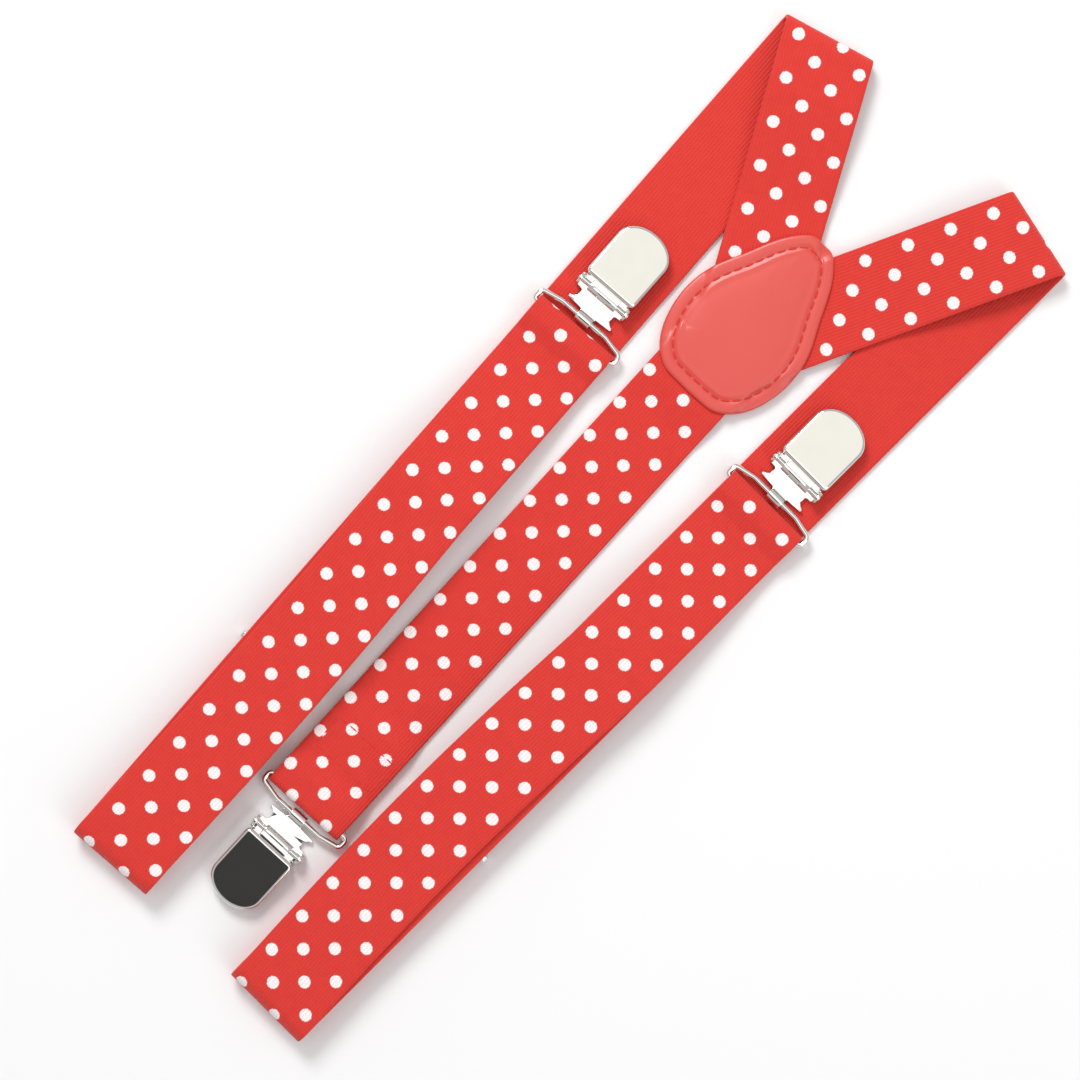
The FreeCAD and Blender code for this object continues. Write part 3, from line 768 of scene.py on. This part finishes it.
# %% [markdown]
# ## The patch
#
# Two leather teardrops hold the three tapes between them. A press leaves a rounded rim, a groove for the
# seam, a low ridge inside it, and a soft dome. So that section is drawn once and spun into a dish, and each
# spoke of the dish is moved onto the teardrop's outline, which is read from the engineering model.

# %% The patch's outline
SPOKES = 160


def outline_of(node):
    """Points round a flat node's edge, evenly spaced, in millimetres."""
    low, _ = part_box(node)
    loose = {(round(v.co.x / MM, 3), round(v.co.y / MM, 3)) for v in frame["nodes"][node].data.vertices
             if v.co.z < low.z + 1e-5}
    middle = Vector((sum(p[0] for p in loose), sum(p[1] for p in loose))) / len(loose)
    ordered = sorted((Vector(p) for p in loose), key=lambda p: math.atan2(p.y - middle.y, p.x - middle.x))
    closed = ordered + [ordered[0]]
    lengths = [(b - a).length for a, b in zip(closed, closed[1:])]
    spacing = sum(lengths) / SPOKES
    points, walked, target = [], 0.0, 0.0
    for a, b, length in zip(closed, closed[1:], lengths):
        while target < walked + length and len(points) < SPOKES:
            points.append(a.lerp(b, (target - walked) / length))
            target += spacing
        walked += length
    return points


outline = outline_of("patch_back")
outline = [(outline[i - 1] + outline[i] + outline[(i + 1) % SPOKES]) / 3 for i in range(SPOKES)]
patch_middle = Vector((sum(p.x for p in outline), sum(p.y for p in outline))) / SPOKES
print("patch outline middle in mm:", tuple(round(value, 1) for value in patch_middle))

# %% Spokes, and what lies under them
DISH = 20.0


def spoke(index, inset):
    """The point a given distance inside the outline, along one spoke."""
    here = outline[index % SPOKES]
    along = (outline[(index + 1) % SPOKES] - outline[index - 1]).normalized()
    inward = Vector((-along.y, along.x))
    to_middle = patch_middle - here
    way = to_middle.normalized()
    near = here + way * (min(inset, 6.0) / max(way.dot(inward), 0.62))
    if inset <= 6.0:
        return near
    return near.lerp(patch_middle, (inset - 6.0) / (DISH - 6.0))


def webbing_under(x, y):
    """1 over webbing and 0 beside it, for a point on the patch."""
    y_fold = y + MIDDLE_Y
    arm_foot = TOP_Y - ARM_LENGTH * math.cos(ARM_LEAN)
    offs = [abs(x * math.cos(ARM_LEAN) - side * (y_fold - arm_foot) * math.sin(ARM_LEAN)) for side in (-1, 1)]
    tests = [off for off, side in zip(offs, (-1, 1)) if side * x > -1.0 and y_fold > PATCH_SEAM_Y]
    if y_fold < PATCH_SEAM_Y:
        tests.append(abs(x - patch_middle.x))
    nearest = min(tests, default=99.0)
    share = min(max((WEB_WIDTH / 2 + 1.4 - nearest) / 1.6, 0.0), 1.0)
    return share * share * (3 - 2 * share)


def dish(profile):
    """Spin a section, given as (inset, height) pairs, and move its spokes onto the outline."""
    bm = spun([(DISH - inset, 0, z) for inset, z in profile], (0, 0, 1), SPOKES)
    for vert in bm.verts:
        radius = math.hypot(vert.co.x, vert.co.y)
        if radius < 1e-3:
            vert.co.x, vert.co.y = patch_middle
            continue
        index = round(math.atan2(vert.co.y, vert.co.x) / (2 * math.pi) * SPOKES)
        vert.co.x, vert.co.y = spoke(index, DISH - radius)
    return bm


# %% [markdown]
# ### The top leather
#
# The rim dips to the lower leather where no tape runs beneath it, as a pressed and sewn rim does. That is a
# small move of each vertex, larger near the edge and gone by the middle.

# %% Make the two leathers
RIM_DROP = 0.95
UNDER_DROP = 1.16
TOP_UNDER = 2.4
RIM_REACH = 7.0
SEAM_INSET = 3.4
SEAM_Z = 3.2
TOP_SECTION = [(DISH, 2.36), (8.0, 2.36), (2.0, 2.36), (0.25, 2.36), (0.05, 2.5), (0.0, 2.75), (0.08, 3.05),
               (0.35, 3.27), (0.8, 3.35), (1.8, 3.42), (2.6, 3.4), (3.0, 3.22), (SEAM_INSET, 3.1), (3.8, 3.24),
               (4.3, 3.52), (4.8, 3.6), (5.4, 3.56), (6.3, 3.66), (8.0, 3.86), (10.5, 4.02), (13.5, 4.13),
               (16.5, 4.18), (DISH, 4.2)]
BACK_SECTION = [(DISH, 0.0), (8.0, 0.0), (0.3, 0.0), (0.06, 0.1), (0.0, 0.35), (0.0, 0.75), (0.1, 1.0),
                (0.4, 1.1), (3.5, 1.1), (8.0, 1.1), (DISH, 1.1)]


def rim_drop(x, y, inset, deepest):
    """How far a point of the top leather sinks where no tape holds it up."""
    return deepest * (1.0 - webbing_under(x, y)) * max(0.0, 1.0 - inset / RIM_REACH) ** 0.7


def drape(bm):
    """Lower the rim where nothing lies under it."""
    for vert in bm.verts:
        inset = min((point - Vector(vert.co[:2])).length for point in outline[::2])
        deepest = UNDER_DROP if vert.co.z < TOP_UNDER else RIM_DROP
        vert.co.z -= rim_drop(vert.co.x, vert.co.y, inset, deepest)


top = dish(TOP_SECTION)
drape(top)
patch_top = finish_piece(top, "patch_top_leather", Matrix.Scale(MM, 4), LEATHER, "webbing", ["patch_front"],
                         "vinyl", crease=80.0)
finish_piece(dish(BACK_SECTION), "patch_back_leather", Matrix.Scale(MM, 4), LEATHER, "webbing", ["patch_back"],
             "vinyl", crease=80.0)

# %% [markdown]
# ## Stitches
#
# A seam is a row of separate stitches, each a short oval of thread. There are about fifty here, so a small
# sphere of a few dozen faces, stretched along the seam, is enough for each.

# %% A row of stitches
STITCH = 2.5
STITCH_SPACE = 0.55
THREAD_WIDTH = 0.62
FINE_THREAD = 0.4
SEWN_HALF = (9.7, 4.7)


def add_stitch(bm, start, end, thick=THREAD_WIDTH):
    """One stitch between two points."""
    way = end - start
    turn = way.to_track_quat("X", "Z").to_matrix().to_4x4()
    size = Matrix.Diagonal((way.length / 2, thick / 2, thick / 2.6, 1))
    place = Matrix.Translation((start + end) / 2) @ turn @ size
    bmesh.ops.create_uvsphere(bm, u_segments=8, v_segments=6, radius=1.0, matrix=place)


def stitch_line(bm, points, closed=False, thick=THREAD_WIDTH):
    """Stitches of even length along a chain of points."""
    chain = points + [points[0]] if closed else points
    lengths = [(b - a).length for a, b in zip(chain, chain[1:])]
    total = sum(lengths)
    count = max(1, round(total / (STITCH + STITCH_SPACE)))
    pitch = total / count

    def at(distance):
        for a, b, length in zip(chain, chain[1:], lengths):
            if distance <= length:
                return a.lerp(b, distance / length)
            distance -= length
        return chain[-1].copy()

    for k in range(count):
        first = k * pitch + STITCH_SPACE / 2
        add_stitch(bm, at(first), at(first + pitch - STITCH_SPACE), thick)
    return count


# %% The patch's seam
seam = bmesh.new()
ring = []
for index in range(SPOKES):
    x, y = spoke(index, SEAM_INSET)
    ring.append(Vector((x, y, SEAM_Z - rim_drop(x, y, SEAM_INSET, RIM_DROP))))
print("patch seam stitches:", stitch_line(seam, ring, closed=True))
finish_piece(seam, "patch_seam_thread", Matrix.Scale(MM, 4), THREAD, "webbing", ["patch_seam"], "thread")

# %% The sewn rectangles on the straps' ends


def sewn_box(name, place, body, replaced):
    """Four straight seams round a rectangle."""
    bm = bmesh.new()
    x, y = SEWN_HALF
    corners = [Vector((-x, -y, 0)), Vector((x, -y, 0)), Vector((x, y, 0)), Vector((-x, y, 0))]
    for a, b in zip(corners, corners[1:] + corners[:1]):
        stitch_line(bm, [a, b], thick=FINE_THREAD)
    return finish_piece(bm, name, place, THREAD, body, [replaced], "thread")


for word in SIDES:
    place = floor_frame(word) @ shift(0, ADJUSTER_Y - 14.5 - STRAP_BAR_Y, UNDER + STEP + LEVEL)
    sewn_box(f"{word}_end_thread", place, f"{word}_adjuster", f"{word}_end_seam")
sewn_box("back_end_thread", back_place @ shift(0, 18.0, 2 * STEP - GAP), "back_end", "back_seam")

# %% [markdown]
# ## Wire loops
#
# Each clip hangs on a closed loop of round wire, made as a wire former makes it: a round section is pushed
# straight and turned round corners until it meets its start. Extrude does the straights, spin the corners.

# %% A closed wire
WIRE_RADIUS = 0.75


def closed_wire(corners, radii, thick):
    """A round wire along a closed flat chain of corners, which starts halfway along its first side."""
    bm = bmesh.new()
    start = (corners[-1] + corners[0]) / 2
    chain = [start] + corners + [start]
    facing = (chain[1] - chain[0]).to_track_quat("Z", "Y").to_matrix().to_4x4()
    made = bmesh.ops.create_circle(bm, cap_ends=False, radius=thick, segments=16,
                                   matrix=Matrix.Translation(start) @ facing)
    ring = made["verts"]
    at = start.copy()
    for before, corner, after, radius in zip(chain, chain[1:], chain[2:], radii):
        way_in, way_out = (corner - before).normalized(), (after - corner).normalized()
        turn = way_in.angle(way_out)
        reach = radius * math.tan(turn / 2)
        axis = way_in.cross(way_out).normalized()
        enter = corner - way_in * reach
        ring = push(bm, ring, enter - at)
        centre = enter + axis.cross(way_in) * radius
        edges = list(dict.fromkeys(edge for vert in ring for edge in vert.link_edges if edge.is_boundary))
        turn_made = bmesh.ops.spin(bm, geom=ring + edges, cent=centre, axis=axis, angle=turn, steps=6)
        ring = verts_of(turn_made["geom_last"])
        at = corner + way_out * reach
    push(bm, ring, start - at)
    bmesh.ops.remove_doubles(bm, verts=bm.verts, dist=1e-3)
    return bm


def push(bm, ring, move):
    """Extrude a ring of vertices straight on."""
    edges = dict.fromkeys(edge for vert in ring for edge in vert.link_edges
                          if edge.is_boundary or not edge.link_faces)
    edges = [edge for edge in edges if edge.verts[0] in ring and edge.verts[1] in ring]
    fresh = verts_of(bmesh.ops.extrude_edge_only(bm, edges=edges)["geom"])
    bmesh.ops.translate(bm, vec=move, verts=fresh)
    return fresh


# %% Make the wire loops
LOOP_CORNERS = [(13.4, 0), (13.4, 3.0), (7.5, LOOP_REACH), (-7.5, LOOP_REACH), (-13.4, 3.0), (-13.4, 0)]
LOOP_RADII = [1.0, 1.2, 2.0, 2.0, 1.2, 1.0]

for word in WORDS:
    corners = [Vector((x, y, 0)) for x, y in LOOP_CORNERS]
    loop = closed_wire(corners, LOOP_RADII, WIRE_RADIUS)
    metal_piece(loop, word, "loop_wire", clip_frame(word), "loop", "wire_loop")

# %% [markdown]
# ## Clip plates
#
# A clip plate is stamped from 0.8 mm sheet: a narrow tab curls round the wire, shoulders and a neck lead to
# two upright ears for the hinge pin, and a jaw lies under the cover. The flat part is an outline given
# thickness; the curl is the same folding strip as the webbing; the ears are outlines stood on edge.

# %% Outlines with thickness
PLATE = 0.8
PLATE_LOW = -WIRE_RADIUS - 0.05 - PLATE


def thicken(bm, faces, way):
    """Extrude faces along a vector, keep the first ones as the underside, and return the new vertices."""
    fresh = verts_of(bmesh.ops.extrude_face_region(bm, geom=faces, use_keep_orig=True)["geom"])
    bmesh.ops.translate(bm, vec=way, verts=fresh)
    return fresh


def solid_outline(bm, points, way):
    """Fill a closed chain of points and give it thickness along a vector."""
    verts = [bm.verts.new(point) for point in points]
    return verts + thicken(bm, [bm.faces.new(verts)], way)


def mirrored(pairs):
    """A plan outline from its right-hand points."""
    return [Vector((x, y, 0)) for x, y in pairs] + [Vector((-x, y, 0)) for x, y in reversed(pairs)]


def merge(target, other):
    """Add one bmesh to another."""
    mesh = bpy.data.meshes.new("scratch")
    other.to_mesh(mesh)
    other.free()
    target.from_mesh(mesh)
    bpy.data.meshes.remove(mesh)


# %% Make the clip plates
PIN_Y = 7.8
PIN_Z = 0.8
EAR_RADIUS = 1.9
CURL_START = 2.2
CURL_TURN = math.radians(310)
CURL_RADIUS = WIRE_RADIUS + 0.05 + PLATE / 2
TAB_WIDTH = 4.6
PLATE_OUTLINE = [(2.3, 1.2), (2.6, 1.75), (7.0, 2.0), (7.2, 2.2), (7.2, 2.8), (6.3, 3.2), (5.5, 3.9),
                 (5.5, 5.5), (6.0, 5.8), (8.0, 5.9), (8.0, 9.7), (6.9, 9.9), (6.9, 23.0), (6.3, 25.2),
                 (5.0, 26.9), (2.8, 28.0)]


def ear_outline():
    """The ear from the side: a foot with a round top about the pin."""
    top = [Vector((0, PIN_Y + EAR_RADIUS * math.cos(a), PIN_Z + EAR_RADIUS * math.sin(a)))
           for a in (math.pi * k / 16 for k in range(17))]
    return top + [Vector((0, PIN_Y - EAR_RADIUS, PLATE_LOW)), Vector((0, PIN_Y + EAR_RADIUS, PLATE_LOW))]


def clip_plate_mesh():
    bm = bmesh.new()
    flat = solid_outline(bm, mirrored(PLATE_OUTLINE), Vector((0, 0, PLATE)))
    bmesh.ops.translate(bm, vec=(0, 0, PLATE_LOW), verts=flat)
    for side in (-1, 1):
        ear = solid_outline(bm, ear_outline(), Vector((side * -PLATE, 0, 0)))
        bmesh.ops.translate(bm, vec=(side * 8.02, 0, 0.01), verts=ear)
    bmesh.ops.recalc_face_normals(bm, faces=bm.faces)
    rounded_edges(bm, hard_edges(bm), 0.16)
    curl = [(CURL_START, CURL_TURN, CURL_RADIUS, 0.0)]
    rows = fold_rows(curl, CURL_START + CURL_RADIUS * CURL_TURN, fine=20, coarse=2.0)
    tab = flat_strip(rows, TAB_WIDTH, PLATE - 0.02, corner=0.15, columns=2)
    fold_up(tab, curl)
    lay = shift(0, CURL_START, PLATE_LOW + PLATE / 2) @ Matrix.Rotation(math.pi, 4, "Z")
    bmesh.ops.transform(tab, matrix=lay, verts=tab.verts)
    merge(bm, tab)
    return bm


for word in WORDS:
    metal_piece(clip_plate_mesh(), word, "plate_metal", plate_frame(word), "clip", "clip_plate")

# %% [markdown]
# ## Hinge pins and barrels
#
# Both are turned shapes, so each is a section spun round the hinge line. The pin's riveted ends are domed;
# the barrel is a tube that turns on it with a little play.

# %% Turned parts
PIN_SECTION = [(-8.4, 0), (-8.38, 0.45), (-8.2, 0.74), (-8.05, 0.75), (8.05, 0.75), (8.2, 0.74), (8.38, 0.45),
               (8.4, 0)]
BARREL_SECTION = [(-4.6, 0.8), (-4.6, 1.3), (-4.52, 1.44), (-4.4, 1.5), (4.4, 1.5), (4.52, 1.44), (4.6, 1.3),
                  (4.6, 0.8), (-4.6, 0.8)]


def turned(section_points):
    """Spin a section of (x, radius) pairs round the x axis."""
    return spun([(x, 0, radius) for x, radius in section_points], (1, 0, 0), 28)


for word in WORDS:
    hinge = plate_frame(word) @ shift(0, PIN_Y, PIN_Z)
    metal_piece(turned(PIN_SECTION), word, "pin_metal", hinge, "clip", "hinge_pin")

# %% [markdown]
# ## Lever covers
#
# The cover is the part that shines: a drawn shell with straight sides and a half-round end, its top edge
# rolled over, its top very slightly crowned and sloping to the tip. A mirror shows every facet, so the top is
# first cut into a fine grid by planes, and crown and slope are then a formula on each vertex's height. A
# Solidify modifier gives the shell its wall, inwards.

# %% The cover's outline and shell
COVER_HALF = 8.0
COVER_START = 9.9
COVER_END = 29.0
COVER_ROUND = 6.0
COVER_CORNER = 1.4
COVER_TOP = 2.9
COVER_LOW = -0.6
COVER_FALL = 1.4
COVER_CROWN = 0.2
EDGE_ROLL = 0.9
WALL = 0.6


def arc(middle, radii, first, sweep, steps):
    """Points along part of an ellipse."""
    angles = [first + sweep * k / steps for k in range(steps + 1)]
    return [middle + Vector((radii[0] * math.cos(a), radii[1] * math.sin(a), 0)) for a in angles]


def cover_outline():
    shoulder = Vector((0, COVER_END - COVER_ROUND, 0))
    inner = COVER_HALF - COVER_CORNER
    low = COVER_START + COVER_CORNER
    corner = (COVER_CORNER, COVER_CORNER)
    return (arc(shoulder, (COVER_HALF, COVER_ROUND), 0, math.pi, 32)
            + arc(Vector((-inner, low, 0)), corner, math.pi, math.pi / 2, 6)
            + arc(Vector((inner, low, 0)), corner, 1.5 * math.pi, math.pi / 2, 6))


def cut_rows(bm, axis, places):
    """Divide every face where it crosses planes square to an axis."""
    for place in places:
        geometry = bm.verts[:] + bm.edges[:] + bm.faces[:]
        bmesh.ops.bisect_plane(bm, geom=geometry, dist=1e-3, plane_co=axis * place, plane_no=axis)


def cover_shell():
    bm = bmesh.new()
    verts = [bm.verts.new(point + Vector((0, 0, COVER_LOW))) for point in cover_outline()]
    made = bmesh.ops.extrude_face_region(bm, geom=[bm.faces.new(verts)])
    lid = [item for item in made["geom"] if isinstance(item, bmesh.types.BMFace)][0]
    bmesh.ops.translate(bm, vec=(0, 0, COVER_TOP - COVER_LOW), verts=lid.verts)
    rounded_edges(bm, lid.edges[:], EDGE_ROLL, segments=7)
    under = [face for face in bm.faces if face.calc_center_median().z < COVER_LOW + 0.01]
    bmesh.ops.delete(bm, geom=under, context="FACES_ONLY")
    cut_rows(bm, Vector((1, 0, 0)), [-6.4 + 1.6 * k for k in range(9)])
    cut_rows(bm, Vector((0, 1, 0)), [COVER_START + 2 + 1.9 * k for k in range(9)])
    slope = COVER_FALL / (COVER_END - COVER_START)
    for vert in bm.verts:
        height = (vert.co.z - COVER_LOW) / (COVER_TOP - COVER_LOW)
        crown = COVER_CROWN * (1 - (vert.co.x / COVER_HALF) ** 2)
        vert.co.z += height * (crown - slope * (vert.co.y - COVER_START))
    bmesh.ops.recalc_face_normals(bm, faces=bm.faces)
    return bm


# %% Make the lever covers
for word in WORDS:
    cover = metal_piece(cover_shell(), word, "cover_metal", plate_frame(word), "lever", "lever_cover",
                        crease=35.0, outward=False)
    wall = cover.modifiers.new("wall", "SOLIDIFY")
    wall.thickness = WALL * MM
    wall.offset = -1.0
    wall.use_even_offset = False

# %% The covers' barrels
LINK_SIZE = (9.0, 2.7, 0.6)


def barrel_mesh():
    """The tube round the pin, and the strip of sheet that joins it to the cover."""
    barrel = turned(BARREL_SECTION)
    bmesh.ops.translate(barrel, vec=(0, PIN_Y, PIN_Z), verts=barrel.verts)
    link = bmesh.new()
    lay = shift(0, PIN_Y + 1.45, PIN_Z + 1.12) @ Matrix.Diagonal((*LINK_SIZE, 1))
    bmesh.ops.create_cube(link, size=1.0, matrix=lay)
    rounded_edges(link, link.edges[:], 0.15)
    merge(barrel, link)
    return barrel


for word in WORDS:
    metal_piece(barrel_mesh(), word, "barrel_metal", plate_frame(word), "lever", "lever_cover")

# %% [markdown]
# ## Grip pads
#
# The engineering model's grip pads already have their teeth, so they stay and only get their plastic.

# %% Finish the grip pads
for word in WORDS:
    pad = frame["nodes"][f"{word}_grip_pad"]
    pad.data.materials.clear()
    pad.data.materials.append(PLASTIC)

# %% [markdown]
# ## Adjusters
#
# The slide that sets a strap's length is a stamped frame with a raised middle bar. The frame is one face,
# inset to open its window, and the bar is again a folding strip, bent up, across and down.

# %% Make the adjusters
SLIDE_WIDTH = 27.9
SLIDE_LENGTH = 16.0
SLIDE_THICK = 1.0
BAR_TOP = 4.3
BAR_THICK = 0.8


def adjuster_mesh():
    bm = bmesh.new()
    bmesh.ops.create_grid(bm, x_segments=1, y_segments=1, size=0.5,
                          matrix=Matrix.Diagonal((SLIDE_WIDTH, SLIDE_LENGTH, 1, 1)))
    bmesh.ops.bevel(bm, geom=bm.verts[:], offset=2.0, offset_type="OFFSET", segments=5, profile=0.5,
                    affect="VERTICES", material=-1)
    bmesh.ops.inset_region(bm, faces=bm.faces[:], thickness=1.28, use_even_offset=True)
    window = min(bm.faces, key=lambda face: face.calc_center_median().length)
    bmesh.ops.delete(bm, geom=[window], context="FACES_ONLY")
    thicken(bm, bm.faces[:], Vector((0, 0, SLIDE_THICK)))
    bmesh.ops.recalc_face_normals(bm, faces=bm.faces)
    rounded_edges(bm, hard_edges(bm), 0.22)
    rail = SLIDE_WIDTH / 2 - 0.66
    rise = BAR_TOP - BAR_THICK / 2 - 0.4
    route = [(0.0, 0.0, 0), (0.0, rise, 0.7), (2 * rail, rise, 0.7), (2 * rail, 0.0, 0)]
    folds, length = folds_from(route)
    bar = flat_strip(fold_rows(folds, length, coarse=3.0), 1.6, BAR_THICK, 0.18, 2)
    fold_up(bar, folds)
    stand = Matrix(((0, 0, 1, -rail), (1, 0, 0, 0), (0, 1, 0, 0.4), (0, 0, 0, 1)))
    bmesh.ops.transform(bar, matrix=stand, verts=bar.verts)
    merge(bm, bar)
    return bm


for word in SIDES:
    place = floor_frame(word) @ shift(0, ADJUSTER_Y - STRAP_BAR_Y, 0)
    metal_piece(adjuster_mesh(), word, "adjuster_metal", place, "adjuster", "adjuster")

# %% [markdown]
# ## Floor, light and camera
#
# A pale floor and large soft lights suit a small shiny object. Chrome shows what surrounds it, so a big panel
# hangs where the two upper covers look and a dark flag where the lower one looks. The camera is straight
# above with a long lens, turned so that the straps run up to the right.

# %% The floor and the dark flag


def scenery(name, place, size, finish, grey, roughness):
    """A flat rectangle that only serves the picture."""
    bm = bmesh.new()
    bmesh.ops.create_grid(bm, x_segments=1, y_segments=1, size=0.5)
    g = Graph(finish)
    g.set(Base_Color=(grey, grey, grey, 1), Roughness=roughness)
    finish_piece(bm, name, shift(*place) @ Matrix.Diagonal((*size, 1, 1)), g.material, outward=False)


scenery("floor", (0, 0, -0.1 * MM), (3.0, 3.0), "pale_floor", 0.86, 0.9)
scenery("dark_flag", (0, -0.44, 0.95), (0.5, 0.4), "black_felt", 0.05, 1.0)

# %% The lights


def soft_panel(name, place, target, size, power, tint=(1, 1, 1)):
    """An area light that looks at a point."""
    lamp = bpy.data.lights.new(name, "AREA")
    lamp.shape = "RECTANGLE"
    lamp.size, lamp.size_y = size
    lamp.energy = power
    lamp.color = tint
    made = bpy.data.objects.new(name, lamp)
    made.location = place
    made.rotation_euler = (Vector(target) - Vector(place)).to_track_quat("-Z", "Y").to_euler()
    bpy.context.collection.objects.link(made)
    return made


soft_panel("high_panel", (0.0, -0.05, 1.25), (0, -0.05, 0), (1.1, 0.5), 1.5)
soft_panel("ivory_panel", (0.0, 0.5, 1.25), (0, 0.5, 0), (1.1, 0.6), 1.1, (1.0, 0.985, 0.86))
soft_panel("key_panel", (-0.9, 0.5, 1.0), (0, 0, 0), (0.5, 0.5), 13.0)
soft_panel("right_panel", (1.1, -0.1, 0.9), (0, 0, 0), (0.7, 0.9), 4.0)
world = bpy.data.worlds.new("studio")
world.use_nodes = True
world.node_tree.nodes["Background"].inputs["Color"].default_value = (0.55, 0.55, 0.56, 1)
bpy.context.scene.world = world
bpy.context.scene.view_settings.view_transform = "Standard"

# %% The camera
CAMERA_PLACE = (-3.2 * MM, -6.1 * MM, 0.787)
CAMERA_TURN = math.radians(43.056)
camera_data = bpy.data.cameras.new("camera")
camera_data.lens = 100.0
camera_data.sensor_width = 36.0
camera = bpy.data.objects.new("camera", camera_data)
camera.location = CAMERA_PLACE
camera.rotation_euler = (0, 0, CAMERA_TURN)
bpy.context.collection.objects.link(camera)
bpy.context.scene.camera = camera
